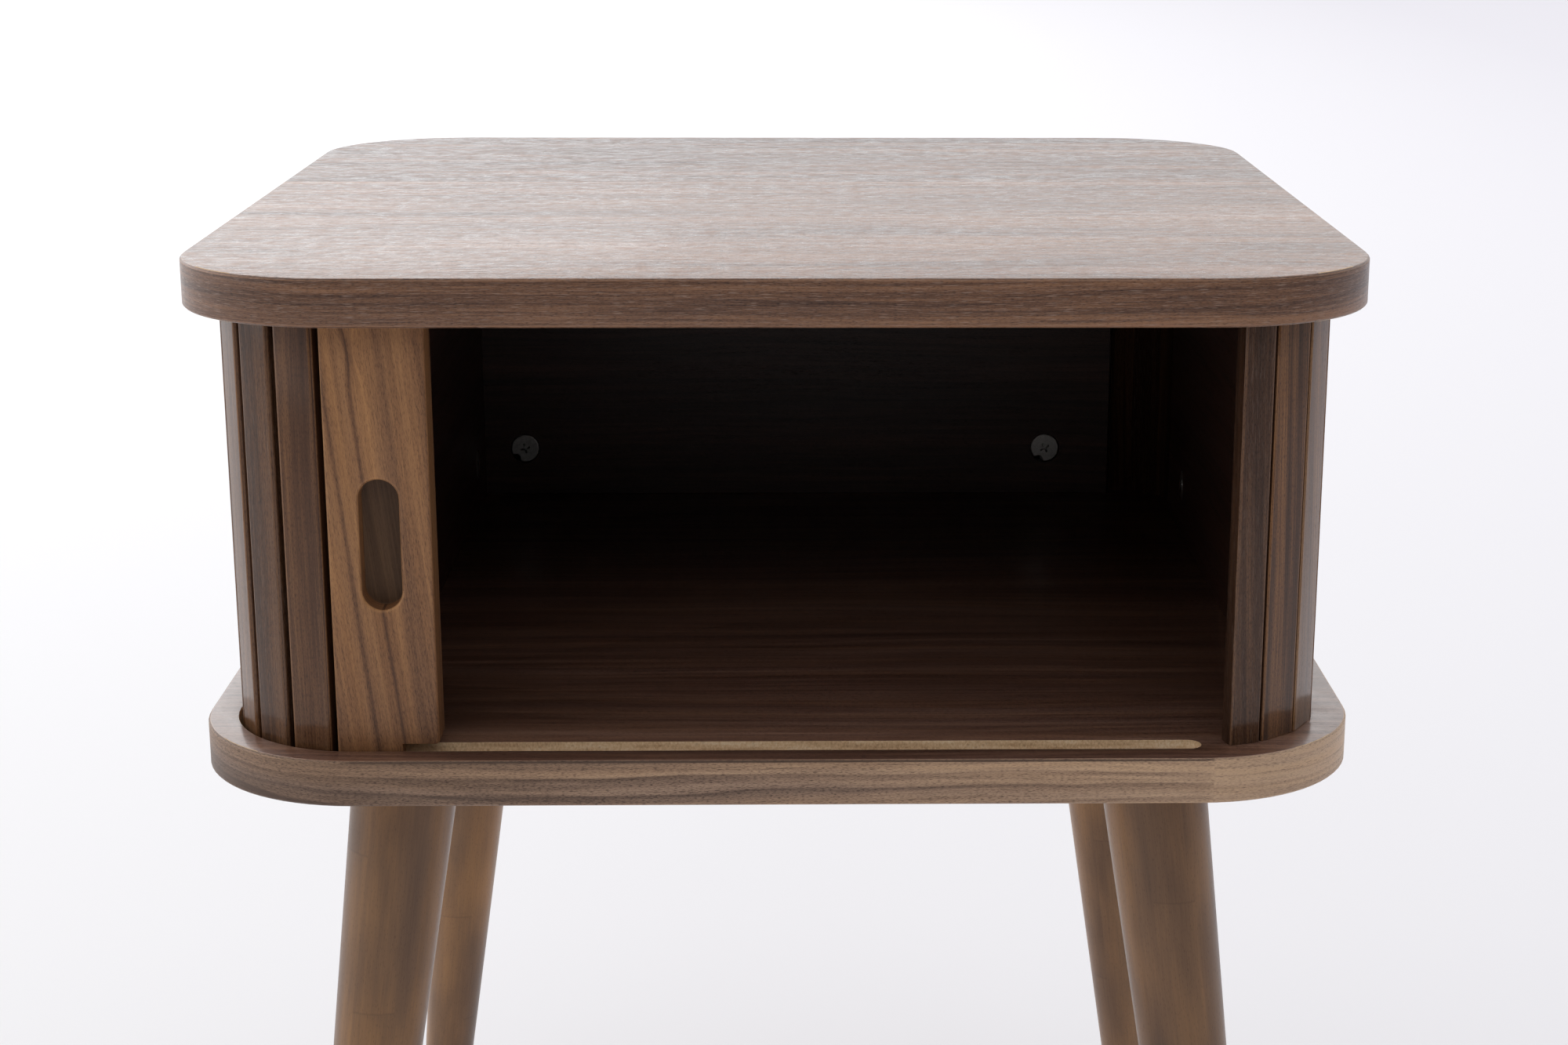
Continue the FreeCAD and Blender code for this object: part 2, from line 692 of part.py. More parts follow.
def foot_glides():
    """The felt pads under the feet."""
    pads = []
    for x, y in leg_places():
        foot_x = x + math.copysign(leg_splay * leg_height, x)
        foot_y = y + math.copysign(leg_splay * leg_height, y)
        pads.append(rod(glide_radius, glide_thickness, V(foot_x, foot_y, 0), UP, leg_sides))
    return Part.makeCompound(pads)


# ---- the assembly --------------------------------------------------------------------------
def fixed_nodes():
    """Every node that stays still, by name."""
    return {"base_board": base_board(),
            "top_board": top_board(),
            "right_panel": right_panel(),
            "back_panel": back_panel(),
            "left_inner_panel": left_inner_panel(),
            "corner_slats_front_right": corner_group(1, -1),
            "corner_slats_back_right": corner_group(1, 1),
            "corner_slats_back_left": corner_group(-1, 1),
            "cam_locks": every_cam(cam_lock),
            "cam_bolts": every_cam(cam_bolt),
            "panel_dowels": panel_dowels(),
            "leg_front_left": leg(-1, -1),
            "leg_front_right": leg(1, -1),
            "leg_back_left": leg(-1, 1),
            "leg_back_right": leg(1, 1),
            "leg_bolts": leg_bolts(),
            "leg_inserts": leg_inserts(),
            "foot_glides": foot_glides()}


def main():
    """Write one STEP file for each node."""
    os.makedirs("parts", exist_ok=True)
    for node, shape in {**fixed_nodes(), **door_nodes()}.items():
        save(node, shape)


main()
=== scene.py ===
"""The looks of the bedside table with a tambour door: rounded pieces, walnut, studio and camera.

Metres, in the CAD model's frame: +Z is up, -Y is the front and +X is to the right. Each wood
piece carries its own grain coordinates (along, across, through) in the attribute "grain", so
one recipe for walnut serves a board, its edge band, a slat or a panel.
"""

import json
import math
import random

import bmesh
import bpy
from mathutils import Matrix, Vector


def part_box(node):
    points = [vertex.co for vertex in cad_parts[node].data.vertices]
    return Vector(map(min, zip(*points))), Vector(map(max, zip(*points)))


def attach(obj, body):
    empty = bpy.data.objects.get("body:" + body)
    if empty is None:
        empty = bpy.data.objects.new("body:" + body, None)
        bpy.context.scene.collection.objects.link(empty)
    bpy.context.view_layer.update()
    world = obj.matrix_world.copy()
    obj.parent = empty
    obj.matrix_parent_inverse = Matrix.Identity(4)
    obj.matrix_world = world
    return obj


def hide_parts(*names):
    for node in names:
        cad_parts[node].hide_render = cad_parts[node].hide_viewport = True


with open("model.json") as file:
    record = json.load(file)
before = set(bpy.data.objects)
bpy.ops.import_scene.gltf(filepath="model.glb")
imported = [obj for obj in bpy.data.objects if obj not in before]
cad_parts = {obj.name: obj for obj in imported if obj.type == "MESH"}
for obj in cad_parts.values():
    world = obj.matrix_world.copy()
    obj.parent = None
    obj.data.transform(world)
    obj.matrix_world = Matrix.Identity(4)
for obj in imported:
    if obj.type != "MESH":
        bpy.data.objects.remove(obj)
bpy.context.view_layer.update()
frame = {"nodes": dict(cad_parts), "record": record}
NODES = frame["nodes"]
CABINET = "cabinet"
LEAD = "lead"

# ---- sizes read from the frame -------------------------------------------------------------
_, BASE_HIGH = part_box("base_board")
_, TOP_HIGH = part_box("top_board")
LEAD_LOW, LEAD_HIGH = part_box("lead_slat")
HALF = TOP_HIGH.x
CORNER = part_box("right_panel")[1].y      # the corners' centres: X and Y
CORNER_RADIUS = HALF - CORNER
SIDE_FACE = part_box("right_panel")[1].x   # the carcass's outer faces
INNER_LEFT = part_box("left_inner_panel")[1].x
RIM_TOLERANCE = 0.003                    # how near the outline an edge band's faces are
OUTLINE = 8 * CORNER + 2 * math.pi * CORNER_RADIUS
INNER_REACH = HALF - CORNER_RADIUS / 5   # a board's eased edges inside this are the lips of its grooves
WELD = 0.000005                          # points nearer than this are one


# ---- node trees ----------------------------------------------------------------------------
BELL_BASE = 2.718


class Tree:
    """A short way to write a material's nodes."""

    def __init__(self, name, world=False):
        self.owner = bpy.data.worlds.new(name) if world else bpy.data.materials.new(name)
        self.owner.use_nodes = True
        self.nodes = self.owner.node_tree.nodes
        self.links = self.owner.node_tree.links
        self.nodes.clear()

    def add(self, kind, inputs=None, **settings):
        node = self.nodes.new(kind)
        for key, value in settings.items():
            setattr(node, key, value)
        for key, value in (inputs or {}).items():
            self.feed(node.inputs[key], value)
        return node

    def feed(self, socket, value):
        if isinstance(value, bpy.types.NodeSocket):
            self.links.new(value, socket)
        else:
            socket.default_value = value

    def attribute(self, name, output="Fac"):
        return self.add("ShaderNodeAttribute", attribute_name=name).outputs[output]

    def maths(self, operation, a, b=0.0, clamp=False):
        node = self.add("ShaderNodeMath", {0: a, 1: b}, operation=operation, use_clamp=clamp)
        return node.outputs[0]

    def times(self, a, b):
        return self.maths("MULTIPLY", a, b)

    def sum(self, *terms, clamp=False):
        total = terms[0]
        for term in terms[1:]:
            total = self.maths("ADD", total, term, clamp=clamp and term is terms[-1])
        return total

    def centred(self, value, amount):
        """A 0 to 1 value as a swing about 0 that reaches half of amount."""
        return self.times(self.maths("SUBTRACT", value, 0.5), amount)

    def bell(self, value):
        """1 where value is 0, falling to 0 on both sides."""
        return self.maths("POWER", BELL_BASE, self.times(self.times(value, value), -1.0))

    def scaled(self, vector, scale, shift=(0.0, 0.0, 0.0)):
        inputs = {0: vector, 1: scale, 2: shift}
        return self.add("ShaderNodeVectorMath", inputs, operation="MULTIPLY_ADD").outputs[0]

    def plus(self, vector, other):
        return self.add("ShaderNodeVectorMath", {0: vector, 1: other}, operation="ADD").outputs[0]

    def parts(self, vector):
        return self.add("ShaderNodeSeparateXYZ", {0: vector}).outputs

    def vector(self, x=0.0, y=0.0, z=0.0):
        return self.add("ShaderNodeCombineXYZ", {"X": x, "Y": y, "Z": z}).outputs[0]

    def noise(self, vector, detail=2.0, roughness=0.5):
        node = self.add("ShaderNodeTexNoise", {"Vector": vector, "Scale": 1.0, "Detail": detail,
                                               "Roughness": roughness})
        return node.outputs["Fac"]

    def spots(self, vector, small, large):
        """1 in scattered spots, as far as small from their middles, and 0 further off than large."""
        node = self.add("ShaderNodeTexVoronoi", {"Vector": vector, "Scale": 1.0})
        return self.fit(node.outputs["Distance"], small, large, 1.0, 0.0)

    def chance(self, vector):
        return self.add("ShaderNodeTexWhiteNoise", {"Vector": vector}).outputs["Value"]

    def ramp(self, value, stops):
        node = self.add("ShaderNodeValToRGB", {0: value})
        ramp = node.color_ramp
        while len(ramp.elements) < len(stops):
            ramp.elements.new(0.5)
        for element, (place, colour) in zip(ramp.elements, stops):
            element.position = place
            element.color = colour
        return node.outputs[0]

    def fit(self, value, low, high, new_low=0.0, new_high=1.0):
        node = self.add("ShaderNodeMapRange", {0: value, 1: low, 2: high, 3: new_low, 4: new_high})
        return node.outputs[0]

    def mix(self, share, a, b, mode="MIX"):
        node = self.add("ShaderNodeMix", {"Factor": share}, data_type="RGBA", blend_type=mode)
        self.feed(node.inputs[6], a)
        self.feed(node.inputs[7], b)
        return node.outputs[2]

    def bump(self, height, strength, distance):
        inputs = {"Height": height, "Strength": strength, "Distance": distance}
        return self.add("ShaderNodeBump", inputs).outputs[0]

    def surface(self, **sockets):
        """A Principled shader to the output. Underscores in names stand for spaces."""
        shader = self.add("ShaderNodeBsdfPrincipled")
        for key, value in sockets.items():
            self.feed(shader.inputs[key.replace("_", " ")], value)
        self.add("ShaderNodeOutputMaterial", {"Surface": shader.outputs[0]})
        return self.owner


def srgb(red, green, blue):
    """A colour given as 0 to 255 display values, as the linear values that nodes take."""
    out = []
    for value in (red, green, blue):
        share = value / 255
        out.append(share / 12.92 if share <= 0.04045 else ((share + 0.055) / 1.055) ** 2.4)
    return (*out, 1.0)


# ---- walnut --------------------------------------------------------------------------------
COOL = (0.97, 0.98, 1.06, 1.0)           # tints of one board: towards violet grey, and towards orange
WARM = (1.09, 1.00, 0.87, 1.0)
PORE_LENGTH = 0.0040                     # long open pores, few
PORE_WIDTH = 0.00050
DASH_LENGTH = 0.0015                     # short fine pores, many
DASH_WIDTH = 0.00019
FLECK_LENGTH = 0.0060                    # pale lines, where polish fills a pore
FLECK_WIDTH = 0.00024
PORE_CORE = 0.16                         # how far from its middle a pore is full, and where it ends,
PORE_END = 0.34                          # in pore sizes

# Noise cells in a metre along, across and through the grain. The figure and the streaks across
# the grain come from a recipe's bands.
SLOW_CELLS = (3.4, 14.0, 14.0)           # how the figure strays widely
QUICK_CELLS = (11.0, 60.0, 60.0)         # and narrowly
FIGURE_ALONG = 2.0
STREAK_ALONG = 15.0
STREAKS_PER_BAND = 7
FIBRE_CELLS = (60.0, 2300.0, 2300.0)
PATCH_CELLS = (9.0, 34.0, 34.0)
WAVE_CELLS = (130.0, 240.0, 240.0)       # uneven polish that breaks up a glint; its pattern is also painted into the colour as glints
HUE_CELLS = (5.0, 120.0, 120.0)

# How far each pattern swings the shade, where 1 is the whole way from dark to light
FIGURE_SWING = 1.15
STREAK_SWING = 0.80
FIBRE_SWING = 0.40
PATCH_SWING = 0.50
# the uneven polish's pattern in the colour: a painted glint
WAVE_GLINT_SWING = 0.9
WAVE_SATIN_SWING = 1.1                   # and the uneven polish the roughness
FIBRE_SATIN_SWING = 0.16

SEED_SHIFT = (1.0, 1.7, 0.6)             # where in the noise a recipe's seed takes its patterns from
SLOW_WANDER = 4                          # shares of a recipe's wander
QUICK_WANDER = 0.5
LEAF_SHIFT = (0.83, 0.37, 0.59)          # how far the figure jumps from one veneer leaf to the next
LEAF_STEP = -0.12                        # and the shade
LEAF_DARK_LINE = (0.0, 0.02, -0.16, 0.0)     # from, to, shade there: a thin dark line where a leaf
LEAF_PALE_LINE = (0.95, 0.985, 0.0, 0.15)    # starts, and a pale one where it ends
JOIN_SHIFT = (0.0040, 0.0010)            # how far figure and shade jump where two strips of an edge
JOIN_STEP = 0.04                         # band meet
KNOT_STRETCH = 0.38                      # a knot is longer along the grain
KNOT_PUSH = 1.6                          # how far it pushes the figure aside, in its reaches
KNOT_SHADE = -0.22
RING_BY_FIGURE = 1.6                     # how much the figure and the patches shift the growth rings
RING_BY_PATCH = 0.9
LATE_SHARPNESS = 3.0                     # how steeply a ring darkens towards its line,
LATE_LINE = 0.86                         # and where in the ring it lets go
DASH_LIFT = 0.3                          # pays back the shade that the dashes take
SHADE_STOPS = (0.08, 0.50, 0.92)         # the shades of a recipe's dark, mid and light colours
HUE_STOPS = (0.34, 0.66)
DIM = (0.55, 0.52, 0.54, 1.0)            # what a pore's bottom keeps of the dark colour
POLISH = (0.50, 0.45, 0.42, 1.0)         # filler in the pores


def walnut(name, dark, mid, light, seed=0.0, bands=90.0, wander=0.006, ring_gap=0.007, rings=0.25,
           spread=1.0, tint=0.6, pores=0.5, dashes=0.35, flecks=0.0, rough=0.45, gloss=0.35,
           coat=0.0, relief=0.35, ripple=0.0, edge=0.10, leaf=0.0, leaf_start=0.0, join=None, knot=None,
           veins=()):
    """Walnut with wandering figure, growth rings, streaks, fibre and pores.

    bands is how many figure bands a metre holds across the grain and wander how far they stray.
    ring_gap is the distance between dark ring lines and rings their strength. spread is how far
    the figure swings between dark and light, and tint, pores, dashes and flecks are strengths.
    edge is how much lighter the arrises are drawn, a painted highlight where they catch the light.
    ripple makes the polish uneven, and the wave that it uses is also painted into the colour as
    glints. leaf is the width of the veneer's strips, one of which starts at leaf_start; each has a
    figure of its own and is darker than the one before. join is where along the grain a second,
    slightly paler strip takes over. knot is (along, across, reach). veins are dark lines: (across,
    half width, strength).
    """
    t = Tree(name)
    grain = t.attribute("grain", "Vector")
    tone = t.attribute("tone")
    arris = t.attribute("arris")
    start = tuple(seed * share for share in SEED_SHIFT)
    source = grain
    leaf_tone = 0.0
    if leaf:
        across = t.times(t.maths("SUBTRACT", t.parts(grain)["Y"], leaf_start), 1 / leaf)
        index = t.maths("FLOOR", across)
        source = t.plus(grain, t.vector(*(t.times(index, shift) for shift in LEAF_SHIFT)))
        within = t.maths("FRACT", across)
        leaf_tone = t.sum(t.times(index, LEAF_STEP), t.fit(within, *LEAF_DARK_LINE),
                          t.fit(within, *LEAF_PALE_LINE))
    if join is not None:
        beyond = t.maths("GREATER_THAN", t.parts(grain)["X"], join)
        source = t.plus(grain, t.vector(*(t.times(beyond, shift) for shift in JOIN_SHIFT)))
        leaf_tone = t.times(beyond, JOIN_STEP)

    slow = t.noise(t.scaled(source, SLOW_CELLS, start), detail=1.5)
    quick = t.noise(t.scaled(source, QUICK_CELLS, start), detail=2.0)
    stray = t.sum(t.centred(slow, wander * SLOW_WANDER), t.centred(quick, wander * QUICK_WANDER))
    at_knot = 0.0
    if knot:
        along, across, reach = knot
        away = t.scaled(grain, (KNOT_STRETCH / reach, 1.0 / reach, 0.0),
                        (-along * KNOT_STRETCH / reach, -across / reach, 0.0))
        far = t.add("ShaderNodeVectorMath", {0: away}, operation="LENGTH").outputs["Value"]
        at_knot = t.bell(far)
        stray = t.sum(stray, t.times(t.times(at_knot, t.parts(away)["Y"]), reach * KNOT_PUSH))
    bent = t.plus(source, t.vector(y=stray))

    figure_cells = (FIGURE_ALONG, bands, bands)
    streak_cells = (STREAK_ALONG, bands * STREAKS_PER_BAND, bands * STREAKS_PER_BAND)
    figure = t.noise(t.scaled(bent, figure_cells, start), detail=3.0, roughness=0.55)
    streak = t.noise(t.scaled(bent, streak_cells, start), detail=3.0, roughness=0.6)
    fibre = t.noise(t.scaled(bent, FIBRE_CELLS), detail=2.0, roughness=0.6)
    patch = t.noise(t.scaled(bent, PATCH_CELLS, start), detail=2.0)
    ring = t.sum(t.times(t.parts(bent)["Y"], 1.0 / ring_gap), t.times(figure, RING_BY_FIGURE),
                 t.times(patch, RING_BY_PATCH))
    ring = t.maths("FRACT", ring)
    late = t.times(t.maths("POWER", ring, LATE_SHARPNESS), t.fit(ring, LATE_LINE, 1.0, 1.0, 0.0))
    late = t.times(late, t.fit(patch, 0.35, 0.60))

    dash_cell = (1 / DASH_LENGTH, 1 / DASH_WIDTH, 1 / DASH_WIDTH)
    dash = t.fit(t.noise(t.scaled(bent, dash_cell, start), detail=1.0), 0.50, 0.72)
    swing = t.sum(t.centred(figure, FIGURE_SWING), t.centred(streak, STREAK_SWING),
                  t.centred(fibre, FIBRE_SWING), t.centred(patch, PATCH_SWING))
    # edge on the arrises is a painted highlight
    shade = t.sum(0.5, t.times(swing, spread), t.times(late, -rings), t.times(arris, edge), leaf_tone,
                  t.times(at_knot, KNOT_SHADE), t.times(dash, -dashes), dashes * DASH_LIFT)
    for across, half_width, strength in veins:
        off = t.times(t.maths("SUBTRACT", t.parts(bent)["Y"], across), 1 / half_width)
        line = t.times(t.bell(off), t.fit(streak, 0.30, 0.55, 0.5, 1.0))
        shade = t.sum(shade, t.times(line, -strength))
    wave = t.noise(t.scaled(bent, WAVE_CELLS, start), detail=3.0, roughness=0.7) if ripple else None
    # tone holds each piece's laid tones, some of them painted shade and painted light; the wave term is
    # a painted glint
    shade = t.sum(shade, tone, t.centred(wave, WAVE_GLINT_SWING) if ripple else 0.0, clamp=True)
    colour = t.ramp(shade, list(zip(SHADE_STOPS, (dark, mid, light))))
    hue = t.noise(t.scaled(bent, HUE_CELLS, (seed + 4.0, 2.0, 7.0)), detail=2.0)
    colour = t.mix(tint, colour, t.ramp(hue, list(zip(HUE_STOPS, (COOL, WARM)))), "MULTIPLY")

    cell = (1.0 / PORE_LENGTH, 1.0 / PORE_WIDTH, 1.0 / PORE_WIDTH)
    pore = t.times(t.spots(t.scaled(bent, cell, start), PORE_CORE, PORE_END), t.fit(streak, 0.56, 0.40))
    colour = t.mix(t.times(pore, pores), colour, t.mix(1.0, dark, DIM, "MULTIPLY"))
    if flecks:
        fleck_cell = (1 / FLECK_LENGTH, 1 / FLECK_WIDTH, 1 / FLECK_WIDTH)
        fleck = t.fit(t.noise(t.scaled(bent, fleck_cell, (2.0, 7.0, 4.0)), detail=1.0), 0.58, 0.70)
        colour = t.mix(t.times(fleck, flecks), colour, t.mix(0.35, light, POLISH))

    satin = t.sum(rough, t.centred(fibre, FIBRE_SATIN_SWING), t.times(pore, 0.20), clamp=True)
    height = t.sum(t.times(fibre, 0.35), t.times(pore, -1.0), t.times(dash, -0.4))
    if ripple:
        satin = t.sum(satin, t.centred(wave, WAVE_SATIN_SWING), clamp=True)
        height = t.sum(height, t.times(wave, ripple))
    return t.surface(Base_Color=colour, Roughness=satin, Normal=t.bump(height, relief, 0.00012),
                     Specular_IOR_Level=gloss, Coat_Weight=coat, Coat_Roughness=0.15)


# ---- other stuffs --------------------------------------------------------------------------
def raw_core():
    """The boards' bare tan core, as the track groove cuts it, with darker crumbs."""
    t = Tree("raw_core")
    place = t.add("ShaderNodeTexCoord").outputs["Object"]
    grit = t.noise(t.scaled(place, (1300.0, 1300.0, 900.0)), detail=3.0, roughness=0.6)
    cloud = t.noise(t.scaled(place, (25.0, 25.0, 420.0)), detail=3.0)
    crumb = t.spots(t.scaled(place, (420.0, 420.0, 420.0)), 0.10, 0.30)
    mixed = t.sum(t.times(grit, 0.45), t.times(cloud, 0.55))
    colour = t.ramp(mixed, [(0.30, srgb(176, 142, 108)), (0.52, srgb(222, 192, 154)),
                            (0.72, srgb(244, 226, 198))])
    colour = t.mix(t.times(crumb, 0.22), colour, srgb(128, 98, 70))
    height = t.sum(grit, t.times(crumb, -0.6))
    return t.surface(Base_Color=colour, Roughness=0.9, Specular_IOR_Level=0.2,
                     Normal=t.bump(height, 0.6, 0.0004))


STAVE_WIDTH = 0.017
BLOCK_LENGTH = 0.150
BLOCK_STAGGER = 0.43                     # how far each stave's joints are off its neighbour's
LEG_PORE_CELLS = (1 / 0.0032, 1 / 0.00045, 1 / 0.00045)


def stained_leg():
    """Stained rubberwood, glued up from blocks in staves, with blotches where the stain took."""
    t = Tree("stained_leg")
    grain = t.attribute("grain", "Vector")
    axes = t.parts(grain)
    stave = t.maths("FLOOR", t.times(axes["Y"], 1 / STAVE_WIDTH))
    reach = t.sum(t.times(axes["X"], 1 / BLOCK_LENGTH), t.times(stave, BLOCK_STAGGER))
    block = t.maths("FLOOR", reach)
    own = t.chance(t.vector(stave, block, 3.0))
    shifted = t.plus(grain, t.vector(t.times(block, 0.31), t.times(stave, 0.17)))
    blotch = t.noise(t.scaled(grain, (11.0, 36.0, 36.0)), detail=2.0, roughness=0.5)
    patch = t.noise(t.scaled(shifted, (14.0, 60.0, 60.0)), detail=3.0, roughness=0.55)
    streak = t.noise(t.scaled(shifted, (7.0, 260.0, 260.0)), detail=3.0, roughness=0.6)
    fibre = t.noise(t.scaled(shifted, (40.0, 1700.0, 1700.0)), detail=2.0)
    shade = t.sum(0.5, t.centred(blotch, 1.25), t.centred(patch, 0.30), t.centred(streak, 0.20),
                  t.centred(fibre, 0.25), t.centred(own, 0.08), clamp=True)
    colour = t.ramp(shade, [(0.10, srgb(82, 61, 47)), (0.48, srgb(122, 91, 64)),
                            (0.85, srgb(158, 117, 75))])
    hue = t.noise(t.scaled(grain, (9.0, 30.0, 30.0), (3.0, 5.0, 1.0)), detail=2.0)
    colour = t.mix(0.4, colour, t.ramp(hue, [(0.36, COOL), (0.64, WARM)]), "MULTIPLY")
    pore = t.spots(t.scaled(shifted, LEG_PORE_CELLS), 0.12, 0.26)
    colour = t.mix(t.times(pore, 0.40), colour, srgb(58, 42, 34))
    seam = t.fit(t.maths("ABSOLUTE", t.centred(t.maths("FRACT", reach), 2.0)), 0.992, 0.997)
    colour = t.mix(t.times(seam, 0.15), colour, srgb(52, 38, 30))
    satin = t.sum(0.40, t.centred(fibre, 0.14), t.times(pore, 0.2))
    height = t.sum(t.times(fibre, 0.4), t.times(pore, -0.8))
    return t.surface(Base_Color=colour, Roughness=satin, Specular_IOR_Level=0.30,
                     Normal=t.bump(height, 0.25, 0.00012), Coat_Weight=0.25, Coat_Roughness=0.25)


def speckled(name, colour, other, scale, rough, metal=0.0, strength=0.3, distance=0.0002):
    """A plain stuff with a fine grain of its own, such as felt, beech, zinc or steel."""
    t = Tree(name)
    place = t.add("ShaderNodeTexCoord").outputs["Object"]
    grit = t.noise(t.scaled(place, (scale, scale, scale)), detail=4.0, roughness=0.65)
    coarse = scale / 12
    cloud = t.noise(t.scaled(place, (coarse, coarse, coarse)), detail=2.0)
    tint = t.ramp(t.sum(t.times(grit, 0.6), t.times(cloud, 0.4)), [(0.3, colour), (0.7, other)])
    satin = t.sum(rough, t.centred(grit, 0.25), clamp=True)
    return t.surface(Base_Color=tint, Roughness=satin, Metallic=metal,
                     Normal=t.bump(grit, strength, distance))


def woven_canvas():
    """Cotton duck: two sets of threads, about a millimetre apart."""
    t = Tree("woven_canvas")
    place = t.add("ShaderNodeTexCoord").outputs["Object"]
    threads = [t.add("ShaderNodeTexWave", {"Vector": place, "Scale": 320.0, "Distortion": 0.4},
                     bands_direction=direction).outputs["Fac"] for direction in ("Z", "DIAGONAL")]
    thread = t.maths("MAXIMUM", *threads)
    colour = t.ramp(thread, [(0.2, srgb(150, 138, 114)), (0.9, srgb(205, 194, 168))])
    return t.surface(Base_Color=colour, Roughness=0.9, Normal=t.bump(thread, 0.5, 0.0003))


# ---- meshes --------------------------------------------------------------------------------
def new_piece(name, mesh, body, stands_for, materials, smooth_angle=0.6):
    """A shown piece from a bmesh, riding on its body in place of a CAD node."""
    data = bpy.data.meshes.new(name)
    mesh.to_mesh(data)
    mesh.free()
    piece = bpy.data.objects.new(name, data)
    bpy.context.scene.collection.objects.link(piece)
    data.shade_smooth()
    data.set_sharp_from_angle(angle=smooth_angle)
    for material in materials:
        data.materials.append(material)
    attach(piece, body)
    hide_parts(stands_for)
    return piece


def eased_mesh(node, width, segments=2, least_angle=0.5):
    """The node's form with its triangles joined into faces and its edges softened.

    The face layer "arris" is 1 on the faces that round an edge.
    """
    mesh = bmesh.new()
    mesh.from_mesh(NODES[node].data)
    bmesh.ops.remove_doubles(mesh, verts=mesh.verts, dist=WELD)
    bmesh.ops.dissolve_limit(mesh, angle_limit=0.01, verts=mesh.verts, edges=mesh.edges)
    arris = mesh.faces.layers.float.new("arris")
    sharp = [e for e in mesh.edges if len(e.link_faces) == 2 and e.calc_face_angle(0.0) > least_angle]
    made = bmesh.ops.bevel(mesh, geom=sharp, offset=width, segments=segments, profile=0.5,
                           affect="EDGES", clamp_overlap=True)
    for face in made["faces"]:
        face[arris] = 1.0
    return mesh


def lay_grain(mesh, lay, tone=lambda co, face: 0.0):
    """Write each face corner's grain coordinates and tone on a bmesh."""
    grain = mesh.loops.layers.float_vector.new("grain")
    shade = mesh.loops.layers.float.new("tone")
    for face in mesh.faces:
        for loop in face.loops:
            loop[grain] = lay(loop.vert.co, face)
            loop[shade] = tone(loop.vert.co, face)


def outline_run(x, y):
    """How far round a board's outline a point lies, from the middle of the front, anticlockwise.

    The left side counts backwards from the front, so the jump is at the back's left end.
    """
    quarter = CORNER_RADIUS * math.pi / 2
    side = 2 * CORNER
    if y < -CORNER and abs(x) <= CORNER:
        return x
    if x > CORNER and y < -CORNER:
        return CORNER + CORNER_RADIUS * math.atan2(x - CORNER, -CORNER - y)
    if x > CORNER and y <= CORNER:
        return CORNER + quarter + y + CORNER
    if x > CORNER:
        return CORNER + quarter + side + CORNER_RADIUS * math.atan2(y - CORNER, x - CORNER)
    if y > CORNER and x >= -CORNER:
        return CORNER + 2 * quarter + side + CORNER - x
    if y > CORNER:
        return CORNER_RADIUS * math.atan2(-CORNER - x, y - CORNER) - CORNER - 2 * quarter - side
    if y >= -CORNER:
        return -CORNER - quarter - CORNER - y
    return CORNER_RADIUS * math.atan2(-CORNER - y, -CORNER - x) - CORNER - quarter


def band_of(face):
    """True for the faces of a board's outer edge band."""
    c = face.calc_center_median()
    reach = max(abs(c.x), abs(c.y))
    if abs(c.x) > CORNER and abs(c.y) > CORNER:
        reach = CORNER + math.hypot(abs(c.x) - CORNER, abs(c.y) - CORNER)
    return reach > HALF - RIM_TOLERANCE and abs(face.normal.z) < 0.8


BAND_DEPTH = 0.3                         # where in the noise an edge band's figure is taken
SLAT_SHIFT = (0.7, 0.37, 0.11)           # how far the figure jumps from one slat to the next


def board_lay(co, face):
    """Grain along X on a board's faces, and round the outline on its edge band."""
    if not band_of(face):
        return co.x, co.y, co.z
    middle = outline_run(*face.calc_center_median()[:2])
    run = outline_run(co.x, co.y)
    if run - middle > OUTLINE / 2:
        run -= OUTLINE
    if middle - run > OUTLINE / 2:
        run += OUTLINE
    return run, co.z, BAND_DEPTH


def level_lay(co, face):
    """Grain level, along a panel."""
    if abs(face.normal.x) > abs(face.normal.y):
        return co.y, co.z, co.x
    return co.x, co.z, co.y


def upright_lay(seed):
    """Grain up a slat, with a figure of its own for each seed."""
    def lay(co, face):
        flat = face.normal.to_2d()
        side = Vector((-flat.y, flat.x)) if flat.length > 0.1 else Vector((1.0, 0.0))
        along, across, through = (seed * shift for shift in SLAT_SHIFT)
        return co.z + along, co.to_2d().dot(side.normalized()) + across, through
    return lay


# ---- boards --------------------------------------------------------------------------------
core = raw_core()
top_veneer = walnut("top_veneer", srgb(44, 30, 26), srgb(86, 63, 54), srgb(152, 117, 97), bands=46.0,
                    wander=0.008, rings=0.10, ring_gap=0.013, spread=0.85, pores=0.7, dashes=0.6,
                    rough=0.38, gloss=0.86, coat=0.20, relief=1.0, ripple=8.0, leaf=0.28,
                    leaf_start=0.046, tint=0.8)
# edge here lightens the band's arrises, a painted highlight
top_band = walnut("top_band", srgb(44, 28, 20), srgb(92, 64, 48), srgb(142, 104, 77), seed=1.9,
                  bands=150.0, wander=0.0025, rings=0.30, ring_gap=0.006, spread=1.05, pores=0.5,
                  dashes=0.34, flecks=0.6, rough=0.42, gloss=0.3, coat=0.25, tint=0.5, edge=0.3)
